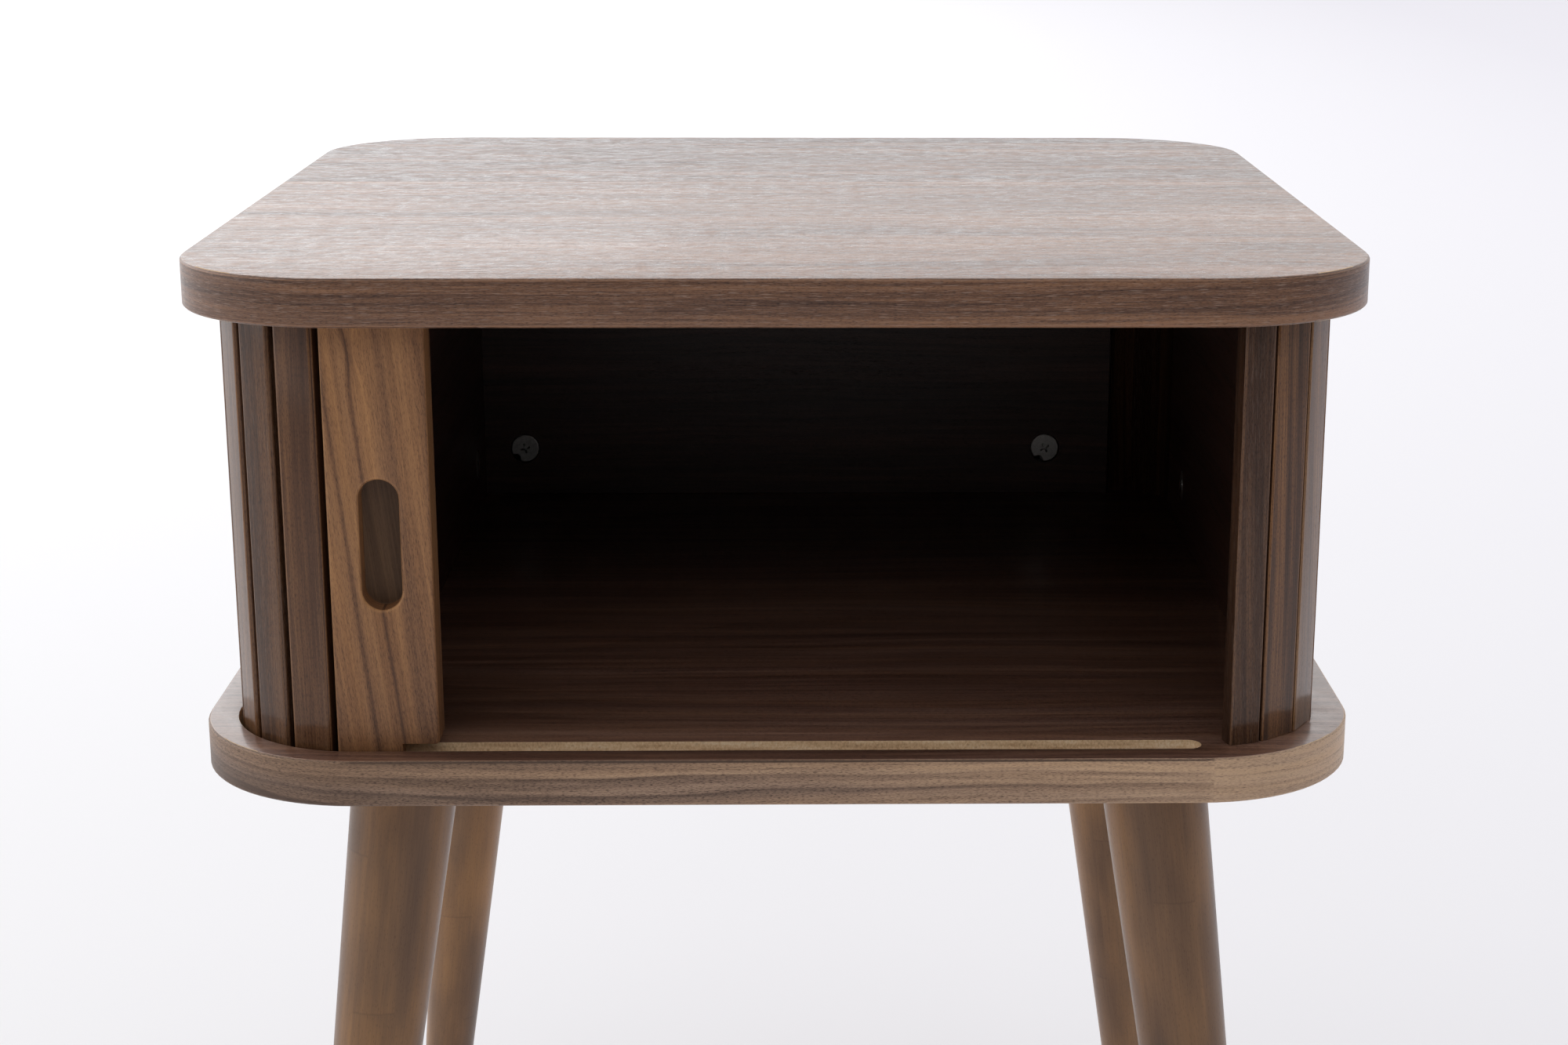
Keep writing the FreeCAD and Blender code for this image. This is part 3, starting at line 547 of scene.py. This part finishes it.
# edge here lightens the base veneer's arrises, a painted highlight
base_veneer = walnut("base_veneer", srgb(62, 42, 34), srgb(112, 81, 67), srgb(156, 122, 102), seed=3.1,
                     bands=80.0, wander=0.006, rings=0.2, ring_gap=0.006, spread=0.75, pores=0.6,
                     dashes=0.4, rough=0.32, gloss=0.8, coat=0.3, relief=0.4, edge=0.45)
BAND_JOIN = CORNER + 0.0043              # where a second strip of the base board's edge band starts
base_band = walnut("base_band", srgb(86, 67, 55), srgb(148, 121, 100), srgb(200, 169, 138), seed=5.3,
                   bands=80.0, wander=0.010, rings=0.50, ring_gap=0.0065, pores=0.6, dashes=0.45,
                   spread=0.78, rough=0.44, tint=0.5, join=BAND_JOIN)
RIM = 0.0009                             # height of the strip under a board's upper arris
BOARD_SKIN = 0.0006                      # what is cut deeper than this into a board shows its core

# Tones of the edge bands, on the scale of a recipe's shade
TOP_BAND_MIDDLE = 0.03
TOP_BAND_SIDE = 0.10                     # more at the right end and less at the left
TOP_RIM = 0.10
BASE_BAND_LEFT = -0.28
BASE_BAND_RISE = 0.62                    # from the left end of the front to the right
BASE_FRONT_RIM = -0.50
BASE_SECOND_STRIP = 0.34
BASE_SECOND_RIM = 0.16
BASE_BACK_FADE = -0.40


def top_tone(co, face):
    """Lighter under the top board's upper arris, and a little paler on its edge band to the right."""
    if not band_of(face):
        return 0.0
    rim = TOP_RIM if face.calc_center_median().z > TOP_HIGH.z - RIM else 0.0
    return rim + TOP_BAND_MIDDLE + TOP_BAND_SIDE * co.x / HALF


def base_tone(co, face):
    """Dark under the base board's front arris, and paler round its edge band from left to right."""
    if not band_of(face):
        return 0.0
    ends = CORNER + CORNER_RADIUS
    run = outline_run(co.x, co.y)
    rim = face.calc_center_median().z > BASE_HIGH.z - RIM
    if rim and abs(run) <= CORNER:
        return BASE_FRONT_RIM
    if run > CORNER:
        turned = CORNER + CORNER_RADIUS * math.pi / 2
        fade = max(0.0, run - turned) / (OUTLINE / 2)
        return (BASE_SECOND_RIM if rim else BASE_SECOND_STRIP) + BASE_BACK_FADE * fade
    return BASE_BAND_LEFT + BASE_BAND_RISE * (max(run, -ends) + ends) / (2 * ends)


def board(node, name, veneer, band, tone):
    """A board with its veneer, edge band and bare core where it is cut."""
    low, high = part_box(node)
    mesh = eased_mesh(node, width=0.0003)
    lay_grain(mesh, board_lay, tone)
    arris = mesh.faces.layers.float["arris"]
    for face in mesh.faces:
        c = face.calc_center_median()
        lip = face[arris] and max(abs(c.x), abs(c.y)) < INNER_REACH
        if band_of(face):
            face.material_index = 1
        elif lip or low.z + BOARD_SKIN < c.z < high.z - BOARD_SKIN:
            face.material_index = 2
    return new_piece(name, mesh, CABINET, node, (veneer, band, core))


board("top_board", "top_board_dressed", top_veneer, top_band, top_tone)
board("base_board", "base_board_dressed", base_veneer, base_band, base_tone)

# ---- panels --------------------------------------------------------------------------------
inner_veneer = walnut("inner_veneer", srgb(36, 23, 18), srgb(60, 40, 32), srgb(86, 58, 47), seed=7.7,
                      bands=80.0, rings=0.3, rough=0.40, gloss=0.4)
outer_veneer = walnut("outer_veneer", srgb(66, 46, 36), srgb(108, 80, 63), srgb(148, 114, 90), seed=9.2,
                      bands=50.0, wander=0.010, rings=0.35, ring_gap=0.010, pores=0.7, rough=0.42)
SIDE_PANEL_BOUNCE_LIGHT = 0.30                         # painted light: the side panels are drawn paler than the back, for light bounced onto them
for node in ("right_panel", "back_panel", "left_inner_panel"):
    # lift is painted bounce light, laid on all faces of the side panels
    lift = 0.0 if node == "back_panel" else SIDE_PANEL_BOUNCE_LIGHT
    mesh = eased_mesh(node, width=0.0002, segments=1)
    lay_grain(mesh, level_lay, lambda co, face: lift)
    for face in mesh.faces:
        middle = face.calc_center_median()
        outside = middle.x > SIDE_FACE - RIM_TOLERANCE or middle.y > SIDE_FACE - RIM_TOLERANCE
        face.material_index = 1 if outside else 0
    new_piece(node + "_dressed", mesh, CABINET, node, (inner_veneer, outer_veneer),
              smooth_angle=0.2)

# ---- slats ---------------------------------------------------------------------------------
# edge lightens the slats' arrises, a painted highlight where they catch the light
SLAT_FINISH = {"edge": 0.24, "rough": 0.34, "gloss": 0.05, "coat": 0.55}
slat_woods = [
    walnut("slat_walnut_brown", srgb(53, 34, 23), srgb(86, 58, 40), srgb(127, 91, 61), bands=150.0,
           wander=0.004, rings=0.25, ring_gap=0.009, tint=0.5, **SLAT_FINISH),
    walnut("slat_walnut_grey", srgb(47, 31, 22), srgb(76, 52, 37), srgb(113, 81, 57), seed=2.6,
           bands=190.0, wander=0.003, rings=0.20, ring_gap=0.006, dashes=0.5, flecks=0.20, tint=0.3,
           **SLAT_FINISH),
    walnut("slat_walnut_warm", srgb(68, 48, 35), srgb(111, 80, 56), srgb(153, 116, 79), seed=4.4,
           bands=110.0, rings=0.30, ring_gap=0.010, tint=0.5, **SLAT_FINISH),
    walnut("slat_walnut_striped", srgb(50, 34, 25), srgb(86, 60, 44), srgb(142, 101, 66), seed=6.1,
           bands=230.0, wander=0.003, rings=0.15, tint=0.5, **SLAT_FINISH)]
BROWN, GREY, WARM_WOOD, STRIPED = range(4)
LEAD_MIDDLE = (LEAD_LOW + LEAD_HIGH) / 2
LEAD_HALF = (LEAD_HIGH - LEAD_LOW) / 2
KNOT_HEIGHT = 0.5605
KNOT_ACROSS = LEAD_LOW.x + 0.0189
KNOT_REACH = 0.0030
FIRST_VEIN = LEAD_LOW.x + 0.0172
SECOND_VEIN = LEAD_LOW.x + 0.0066
lead_wood = walnut("lead_walnut", srgb(86, 58, 41), srgb(139, 99, 67), srgb(176, 130, 86), seed=1.3,
                   bands=165.0, wander=0.003, rings=0.10, ring_gap=0.0075, spread=0.72, dashes=0.36,
                   pores=0.4, tint=0.4, knot=(KNOT_HEIGHT, KNOT_ACROSS, KNOT_REACH),
                   veins=((FIRST_VEIN, 0.0009, 0.36), (SECOND_VEIN, 0.0011, 0.36)))
# the finger recess's floor: darker walnut, painted shade in the recess
recess_shaded_wood = walnut("recess_walnut_painted_shade", srgb(66, 48, 34), srgb(86, 64, 46), srgb(112, 86, 62), seed=6.3,
                     bands=200.0, wander=0.002, rings=0.0, spread=0.8, pores=0.2, dashes=0.15, tint=0.3,
                     gloss=0.2)

body_of = {node: body for body, members in frame["record"]["behaviour"]["bodies"].items()
           for node in members}
JOINT_SHADE = -0.26                       # the slats' side faces, painted shade in the gaps between slats
FACING = 0.35                            # a face that turns away further than this is a side face
TONE_CHANCE = 0.08                       # how far a curtain slat's tone may be off the middle one


def side_tone(outward, lift):
    """A tone for a slat's faces, with painted shade where a face turns away from its outward side."""
    def tone(co, face):
        return lift if face.normal.dot(outward) > FACING else lift + JOINT_SHADE
    return tone


curtain = sorted(n for n in NODES if n.startswith("curtain_slat_"))
WARM_SLATS = (4, 9, 13, 20)              # counted from 0 at the lead slat
GREY_SLATS = (1, 6, 11, 16, 18)
for index, node in enumerate(curtain):
    mesh = eased_mesh(node, width=0.0005, segments=3)
    chance = random.Random(node)
    middle = sum((v.co for v in mesh.verts), Vector()) / len(mesh.verts)
    outward = Vector((0.0, -1.0, 0.0)) if middle.x > -CORNER else Vector((-1.0, 0.0, 0.0))
    if middle.x < -CORNER and middle.y < -CORNER:
        outward = Vector((middle.x + CORNER, middle.y + CORNER, 0.0)).normalized()
    lift = chance.uniform(-TONE_CHANCE, TONE_CHANCE)
    lay_grain(mesh, upright_lay(index + 1), side_tone(outward, lift))
    wood = WARM_WOOD if index in WARM_SLATS else GREY if index in GREY_SLATS else BROWN
    new_piece(node + "_dressed", mesh, body_of[node], node, (slat_woods[wood],))

CORNER_JOINTS = (28.2, 48.8, 69.4)       # degrees round the corner from the front or back
CORNER_LEAN = 0.03                       # how far the corner slats' grain leans in a metre of height
CORNER_SEED = 31
FRONT_CORNER = ((GREY, STRIPED, WARM_WOOD, BROWN), (-0.12, 0.0, -0.04, 0.0))     # woods and tones
OTHER_CORNER = ((BROWN, GREY, BROWN, GREY), (0.04, -0.02, 0.0, 0.04))
for group in ("front_right", "back_right", "back_left"):
    node = "corner_slats_" + group
    woods, lifts = FRONT_CORNER if group == "front_right" else OTHER_CORNER
    side_x = 1.0 if "right" in group else -1.0
    side_y = 1.0 if "back" in group else -1.0
    mesh = eased_mesh(node, width=0.0004, segments=3)

    def turn_of(co):
        """The angle of a point round this corner, from the front or back to the side."""
        return math.degrees(math.atan2(co.x * side_x - CORNER, co.y * side_y - CORNER))

    def place_of(face):
        """Which slat of the corner a face is on, from 0."""
        return sum(turn_of(face.calc_center_median()) > joint for joint in CORNER_JOINTS)

    def lay(co, face):
        along, across, through = upright_lay(CORNER_SEED + place_of(face))(co, face)
        return along, across + CORNER_LEAN * co.z, through

    def tone(co, face):
        c = face.calc_center_median()
        outward = Vector((c.x - side_x * CORNER, c.y - side_y * CORNER, 0.0)).normalized()
        return side_tone(outward, lifts[place_of(face)])(co, face)

    lay_grain(mesh, lay, tone)
    for face in mesh.faces:
        face.material_index = woods[place_of(face)]
    new_piece(node + "_dressed", mesh, CABINET, node, slat_woods)

# ---- lead slat -----------------------------------------------------------------------------
LEAD_LEAN = 0.11                         # how far the lead slat's grain leans in a metre of height
LEAD_DEPTH = 0.2                         # where in the noise its figure is taken
LEAD_EDGE_SHIFT = 0.3                    # and how far from it that of its narrow faces is
LEAD_TONE = -0.03
LEAD_RIGHT_TONE = -0.06                  # at its right edge, and the opposite at its left
LEAD_HEAD_TONE = 0.03                    # at its top, and the opposite at its foot
RECESS_DEPTH = 0.009
RECESS_RIM = 0.0009                      # depth of the eased edge
RECESS_SKIN = 0.0002                     # faces this near the floor's depth belong to the floor
RECESS_HALF_WIDTH = 0.0090               # the space that is searched for its faces
RECESS_LOW = LEAD_MIDDLE.z - 0.0300
RECESS_HIGH = LEAD_MIDDLE.z + 0.0260
# painted shade on the recess's walls
RECESS_WALL_SHADE = -0.12
TORN_TONE = 0.25                         # its lower rim, where the cutter tore the wood,
TORN_HEIGHT = 0.010                      # and how far up that goes


def recess_part(face):
    """What a face of the lead slat is to the finger recess: "floor", "wall", "rim" or None."""
    c = face.calc_center_median()
    deep = c.y - LEAD_LOW.y
    if abs(c.x - LEAD_MIDDLE.x) > RECESS_HALF_WIDTH or not RECESS_LOW < c.z < RECESS_HIGH:
        return None
    if abs(deep - RECESS_DEPTH) < RECESS_SKIN:
        return "floor"
    if deep > RECESS_DEPTH or deep < RECESS_SKIN / 2:
        return None
    return "wall" if deep > RECESS_RIM else "rim"


def lead_tone(co, face):
    """Painted shade on the recess's walls, pale on its lower rim, and else a little paler to the upper
    left.
    """
    part = recess_part(face)
    if part == "rim" and face.calc_center_median().z < RECESS_LOW + TORN_HEIGHT:
        return TORN_TONE
    if part == "wall":
        return RECESS_WALL_SHADE
    off = co - LEAD_MIDDLE
    return LEAD_TONE + LEAD_RIGHT_TONE * off.x / LEAD_HALF.x + LEAD_HEAD_TONE * off.z / LEAD_HALF.z


def lead_lay(co, face):
    """Grain that leans on its way up the lead slat."""
    if abs(face.normal.x) > abs(face.normal.y):
        return co.z, co.y + LEAD_EDGE_SHIFT, LEAD_DEPTH
    return co.z, co.x + (co.z - LEAD_MIDDLE.z) * LEAD_LEAN, LEAD_DEPTH


mesh = eased_mesh("lead_slat", width=0.0004, segments=3)
lay_grain(mesh, lead_lay, lead_tone)
for face in mesh.faces:
    # the recess's floor takes the darker walnut, painted shade
    face.material_index = 1 if recess_part(face) == "floor" else 0
new_piece("lead_slat_dressed", mesh, LEAD, "lead_slat", (lead_wood, recess_shaded_wood))

# ---- legs ----------------------------------------------------------------------------------
LEG_AROUND = 72
LEG_STATIONS = 40
LEG_TOP_RADIUS = 0.022
LEG_FOOT_RADIUS = 0.010
FOOT_ROUND = 0.0015                      # how far a foot's edge is eased, in two steps
FIRST_STEP = 0.3
LEG_SIDE_SHIFT = 1.3                     # how far the figures of the legs are apart: left and right,
LEG_DEPTH_SHIFT = 2.9                    # front and back,
LEG_ACROSS_SHIFT = 0.5                   # and across the grain
leg_stuff = stained_leg()


def leg(node, side_x, side_y):
    """One turned leg: round, tapered, splayed, with an eased foot."""
    low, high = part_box(node)
    inner = Vector((low.x if side_x > 0 else high.x, low.y if side_y > 0 else high.y))
    outer = Vector((high.x if side_x > 0 else low.x, high.y if side_y > 0 else low.y))
    side = Vector((side_x, side_y))
    top = inner + side * LEG_TOP_RADIUS
    foot = outer - side * LEG_FOOT_RADIUS
    height = high.z - low.z
    rings = []
    for i in range(LEG_STATIONS + 1):
        share = i / LEG_STATIONS * (1 - FOOT_ROUND / height)
        rings.append((share, LEG_TOP_RADIUS + (LEG_FOOT_RADIUS - LEG_TOP_RADIUS) * share))
    rings.append((1 - FOOT_ROUND * FIRST_STEP / height, LEG_FOOT_RADIUS - FOOT_ROUND * FIRST_STEP))
    rings.append((1.0, LEG_FOOT_RADIUS - FOOT_ROUND))
    turns = [2 * math.pi * k / LEG_AROUND for k in range(LEG_AROUND)]
    around = [Vector((math.cos(turn), math.sin(turn), 0)) for turn in turns]
    mesh = bmesh.new()
    circles = []
    for share, radius in rings:
        centre = top.lerp(foot, share).to_3d()
        centre.z = high.z - share * height
        circles.append([mesh.verts.new(centre + direction * radius) for direction in around])
    for upper, lower in zip(circles, circles[1:]):
        for k in range(LEG_AROUND):
            n = (k + 1) % LEG_AROUND
            mesh.faces.new((upper[k], lower[k], lower[n], upper[n]))
    mesh.faces.new(list(circles[0]))
    mesh.faces.new(list(reversed(circles[-1])))
    mesh.normal_update()

    def lay(co, face):
        away = co.to_2d() - top.lerp(foot, (high.z - co.z) / height)
        along = co.z + side_x * LEG_SIDE_SHIFT + side_y * LEG_DEPTH_SHIFT
        return along, away.x + side_x * LEG_ACROSS_SHIFT, away.y + side_y * LEG_ACROSS_SHIFT

    lay_grain(mesh, lay)
    return new_piece(node + "_turned", mesh, CABINET, node, (leg_stuff,))


for node, side_x, side_y in (("leg_front_left", -1, -1), ("leg_front_right", 1, -1),
                             ("leg_back_left", -1, 1), ("leg_back_right", 1, 1)):
    leg(node, side_x, side_y)

# ---- cam locks -----------------------------------------------------------------------------
CAM_AROUND = 48
CAM_RIM = 0.0006                         # rounding of the cam's rim, in two steps
CAM_PLAY = 0.0001                        # the cam inside its solid's outline
CAM_SPIN = 0.25                          # how far a cam may be turned either way, in radians
CROSS_REACH = 0.0026                     # half the length of the crossed recess
CROSS_WAIST = 0.0007                     # half the width of an arm
CROSS_TIP = 0.7                          # an arm's width at its end, as a share of that
CROSS_TURN = 0.35
CROSS_DEPTH = 0.0022
PIT_SHARE = 0.55                         # the recess's bottom against its mouth
BITE_RADIUS = 0.0024                     # the notch in the rim that the bolt's neck goes through
BITE_SPREAD = 0.8
BITE_TURN = math.radians(232)
zinc = speckled("zinc", srgb(150, 149, 146), srgb(196, 194, 190), 700.0, 0.40, metal=0.9)


def cam_outline(radius):
    """Points round a cam's face, with the notch in its rim."""
    bite = Vector((math.cos(BITE_TURN), math.sin(BITE_TURN))) * radius
    points = []
    for i in range(CAM_AROUND):
        turn = 2 * math.pi * i / CAM_AROUND
        point = Vector((math.cos(turn), math.sin(turn))) * radius
        if (point - bite).length < BITE_RADIUS:
            inward = -bite.normalized() * BITE_RADIUS + (point - bite) * BITE_SPREAD
            point = bite + inward.normalized() * BITE_RADIUS
        points.append(point)
    return points


def cross_outline():
    """Points round the crossed recess, its arms narrowing to their ends."""
    tip = CROSS_WAIST * CROSS_TIP
    points = []
    for quarter in range(4):
        turn = Matrix.Rotation(math.pi / 2 * quarter + CROSS_TURN, 2)
        points += [turn @ Vector((CROSS_REACH, -tip)), turn @ Vector((CROSS_REACH, tip)),
                   turn @ Vector((CROSS_WAIST, CROSS_WAIST))]
    return points


def add_cam(mesh, place, radius, depth):
    """One cam under its face at the origin of place, which looks along place's Z."""
    def ring(points, z):
        return [mesh.verts.new(place @ Vector((p.x, p.y, z))) for p in points]

    def wall(upper, lower):
        for k in range(len(upper)):
            n = (k + 1) % len(upper)
            mesh.faces.new((upper[k], lower[k], lower[n], upper[n]))

    def loop_edges(verts):
        pairs = zip(verts, verts[1:] + verts[:1])
        return [mesh.edges.get(pair) or mesh.edges.new(pair) for pair in pairs]

    outline = cam_outline(radius)
    face = ring([p * (1 - CAM_RIM / radius) for p in outline], 0.0)
    mid = ring([p * (1 - FIRST_STEP * CAM_RIM / radius) for p in outline], -FIRST_STEP * CAM_RIM)
    rim = ring(outline, -CAM_RIM)
    bottom = ring(outline, -depth)
    cross = ring(cross_outline(), 0.0)
    pit = ring([p * PIT_SHARE for p in cross_outline()], -CROSS_DEPTH)
    for upper, lower in ((face, mid), (mid, rim), (rim, bottom), (cross, pit)):
        wall(upper, lower)
    mesh.faces.new(list(reversed(bottom)))
    mesh.faces.new(pit)
    bmesh.ops.triangle_fill(mesh, use_beauty=True, edges=loop_edges(face) + loop_edges(cross))


def loose_boxes(node):
    """The lowest and highest corner of each separate solid in a node."""
    mesh = bmesh.new()
    mesh.from_mesh(NODES[node].data)
    bmesh.ops.remove_doubles(mesh, verts=mesh.verts, dist=WELD)
    left = set(mesh.verts)
    boxes = []
    while left:
        island = [left.pop()]
        for vert in island:
            for edge in vert.link_edges:
                other = edge.other_vert(vert)
                if other in left:
                    left.remove(other)
                    island.append(other)
        corners = [Vector(pick(v.co[i] for v in island) for i in range(3)) for pick in (min, max)]
        boxes.append(corners)
    mesh.free()
    return sorted(boxes, key=lambda pair: tuple(round(c, 5) for c in pair[0]))


cams = bmesh.new()
chance = random.Random("cams")
for low, high in loose_boxes("cam_locks"):
    size = high - low
    middle = (low + high) / 2
    if size.x < size.y:
        look = Vector((-1.0, 0.0, 0.0)) if middle.x > INNER_LEFT else Vector((1.0, 0.0, 0.0))
    else:
        look = Vector((0.0, -1.0, 0.0))
    depth = min(size.x, size.y)
    up = Vector((0.0, 0.0, 1.0))
    turned = Matrix((up.cross(look), up, look)).transposed().to_4x4()
    spin = Matrix.Rotation(chance.uniform(-CAM_SPIN, CAM_SPIN), 4, "Z")
    place = Matrix.Translation(middle + look * depth / 2) @ turned @ spin
    add_cam(cams, place, size.z / 2 - CAM_PLAY, depth)
bmesh.ops.recalc_face_normals(cams, faces=cams.faces)
new_piece("cam_locks_cast", cams, CABINET, "cam_locks", (zinc,), smooth_angle=0.25)

# ---- hidden pieces -------------------------------------------------------------------------
steel = speckled("steel", srgb(130, 130, 128), srgb(176, 176, 172), 500.0, 0.35, metal=0.95)
felt = speckled("felt", srgb(44, 36, 32), srgb(74, 62, 54), 1300.0, 0.95, strength=0.8, distance=0.0005)
beech = speckled("beech", srgb(190, 152, 108), srgb(214, 180, 138), 260.0, 0.6)
hidden_stuff = {"steel": steel, "felt": felt, "beech": beech, "canvas": woven_canvas()}
slot_of = {row["node"]: row["material_slot"] for row in frame["record"]["subparts"]}
for node, thing in NODES.items():
    if not thing.hide_render:
        thing.data.materials.clear()
        thing.data.materials.append(hidden_stuff[slot_of[node]])

# ---- studio --------------------------------------------------------------------------------
FLOOR_HALF = 30.0
floor_mesh = bpy.data.meshes.new("studio_floor")
floor_corners = [(-FLOOR_HALF, -FLOOR_HALF, 0), (FLOOR_HALF, -FLOOR_HALF, 0),
                 (FLOOR_HALF, FLOOR_HALF, 0), (-FLOOR_HALF, FLOOR_HALF, 0)]
floor_mesh.from_pydata(floor_corners, [], [(0, 1, 2, 3)])
floor = bpy.data.objects.new("studio_floor", floor_mesh)
bpy.context.scene.collection.objects.link(floor)
FLOOR_LEFT = -1.5                        # the floor is palest at the left of this,
FLOOR_RIGHT = 2.5                        # and greyest at the right of this, a painted shade
FLOOR_PALE = (0.92, 0.92, 0.93, 1.0)
FLOOR_SHADED_GREY = (0.76, 0.75, 0.80, 1.0)
t = Tree("pale_floor")
sideways = t.fit(t.parts(t.add("ShaderNodeTexCoord").outputs["Object"])["X"], FLOOR_LEFT, FLOOR_RIGHT)
floor_mesh.materials.append(t.surface(Base_Color=t.mix(sideways, FLOOR_PALE, FLOOR_SHADED_GREY), Roughness=0.9,
                                      Specular_IOR_Level=0.1))

FRONT_GLOW = 0.05                        # the studio walls all round
UP_GLOW = 0.30                           # and what is added overhead,
BACK_GLOW = 0.85                         # behind the table,
SIDE_GLOW = 0.95                         # at both sides,
HORIZON_GLOW = 0.60                      # and in a band round the horizon,
HORIZON_FALL = 25.0                      # which is the thinner the larger this is
LEFT_GAIN = 0.60                         # all of it stronger at the left and weaker at the right
t = Tree("soft_studio", world=True)
axes = t.parts(t.add("ShaderNodeTexCoord").outputs["Generated"])
square = t.times(axes["X"], axes["X"])
glow = t.sum(FRONT_GLOW, t.times(t.maths("MAXIMUM", axes["Z"], 0.0), UP_GLOW),
             t.times(t.maths("MAXIMUM", axes["Y"], 0.0), BACK_GLOW),
             t.times(t.times(square, square), SIDE_GLOW))
flatness = t.maths("SUBTRACT", 1.0, t.maths("ABSOLUTE", axes["Z"]))
glow = t.sum(glow, t.times(t.maths("POWER", flatness, HORIZON_FALL), HORIZON_GLOW))
glow = t.times(glow, t.sum(1.0, t.times(axes["X"], -LEFT_GAIN)))
background = t.add("ShaderNodeBackground", {"Color": (1.0, 0.99, 1.0, 1.0), "Strength": glow})
t.add("ShaderNodeOutputWorld", {"Surface": background.outputs[0]})
bpy.context.scene.world = t.owner


def soft_light(name, place, towards, width, height, glow):
    """A soft panel that looks at a point. glow is its radiance; the camera does not see it."""
    lamp = bpy.data.lights.new(name, "AREA")
    lamp.shape = "RECTANGLE"
    lamp.size = width
    lamp.size_y = height
    lamp.energy = glow * math.pi * width * height
    panel = bpy.data.objects.new(name, lamp)
    panel.location = place
    panel.rotation_euler = (Vector(towards) - Vector(place)).to_track_quat("-Z", "Y").to_euler()
    panel.visible_camera = False
    bpy.context.scene.collection.objects.link(panel)


TABLE_MIDDLE = (0.0, 0.0, 0.5)
CEILING_HEIGHT = 2.5                     # one wide soft light over the table and the floor behind it
CEILING_FRONT = -1.0
CEILING_SPAN = 20.0
CEILING_RADIANCE = 0.57
CEILING_Y = CEILING_FRONT + CEILING_SPAN / 2
LEFT_BACK_X, LEFT_BACK_Y = -3.6, 7.5     # a second one under it, at the left behind the table
LEFT_BACK_HEIGHT = CEILING_HEIGHT - 0.05
LEFT_BACK_SIZE = (6.0, 9.0)
LEFT_BACK_RADIANCE = 0.60
FRONT_PLACE = (0.0, -1.9, 1.9)           # and one over the camera
FRONT_SIZE = (2.0, 0.8)
FRONT_RADIANCE = 1.1
soft_light("ceiling_softbox", (0.0, CEILING_Y, CEILING_HEIGHT), (0.0, CEILING_Y, 0.0),
           CEILING_SPAN, CEILING_SPAN, CEILING_RADIANCE)
soft_light("left_back_softbox", (LEFT_BACK_X, LEFT_BACK_Y, LEFT_BACK_HEIGHT),
           (LEFT_BACK_X, LEFT_BACK_Y, 0.0), *LEFT_BACK_SIZE, LEFT_BACK_RADIANCE)
soft_light("front_softbox", FRONT_PLACE, TABLE_MIDDLE, *FRONT_SIZE, FRONT_RADIANCE)

# ---- camera --------------------------------------------------------------------------------
IMAGE_WIDTH = 2000.0
FOCAL_PIXELS = 3471.0
AXIS_RIGHT = 95.5                        # pixels from the image's middle to the lens axis
AXIS_DOWN = 62.1
CAMERA_PLACE = Vector((0.01065, -1.19049, 0.74771))
CAMERA_YAW = -0.0201
CAMERA_PITCH = 0.269
CAMERA_ROLL = -0.003
SENSOR_WIDTH = 36.0

lens = bpy.data.cameras.new("photo_camera")
lens.sensor_width = SENSOR_WIDTH
lens.lens = FOCAL_PIXELS / IMAGE_WIDTH * SENSOR_WIDTH
lens.shift_x = -AXIS_RIGHT / IMAGE_WIDTH
lens.shift_y = AXIS_DOWN / IMAGE_WIDTH
lens.clip_end = 200.0
camera = bpy.data.objects.new("photo_camera", lens)
bpy.context.scene.collection.objects.link(camera)
ahead = Vector((-math.sin(CAMERA_YAW) * math.cos(CAMERA_PITCH),
                math.cos(CAMERA_YAW) * math.cos(CAMERA_PITCH), -math.sin(CAMERA_PITCH)))
level = Vector((math.cos(CAMERA_YAW), math.sin(CAMERA_YAW), 0.0))
down = ahead.cross(level)
right = level * math.cos(CAMERA_ROLL) + down * math.sin(CAMERA_ROLL)
below = down * math.cos(CAMERA_ROLL) - level * math.sin(CAMERA_ROLL)
turned = Matrix((right, -below, -ahead)).transposed().to_4x4()
camera.matrix_world = Matrix.Translation(CAMERA_PLACE) @ turned
bpy.context.scene.camera = camera
bpy.context.scene.view_settings.view_transform = "Standard"
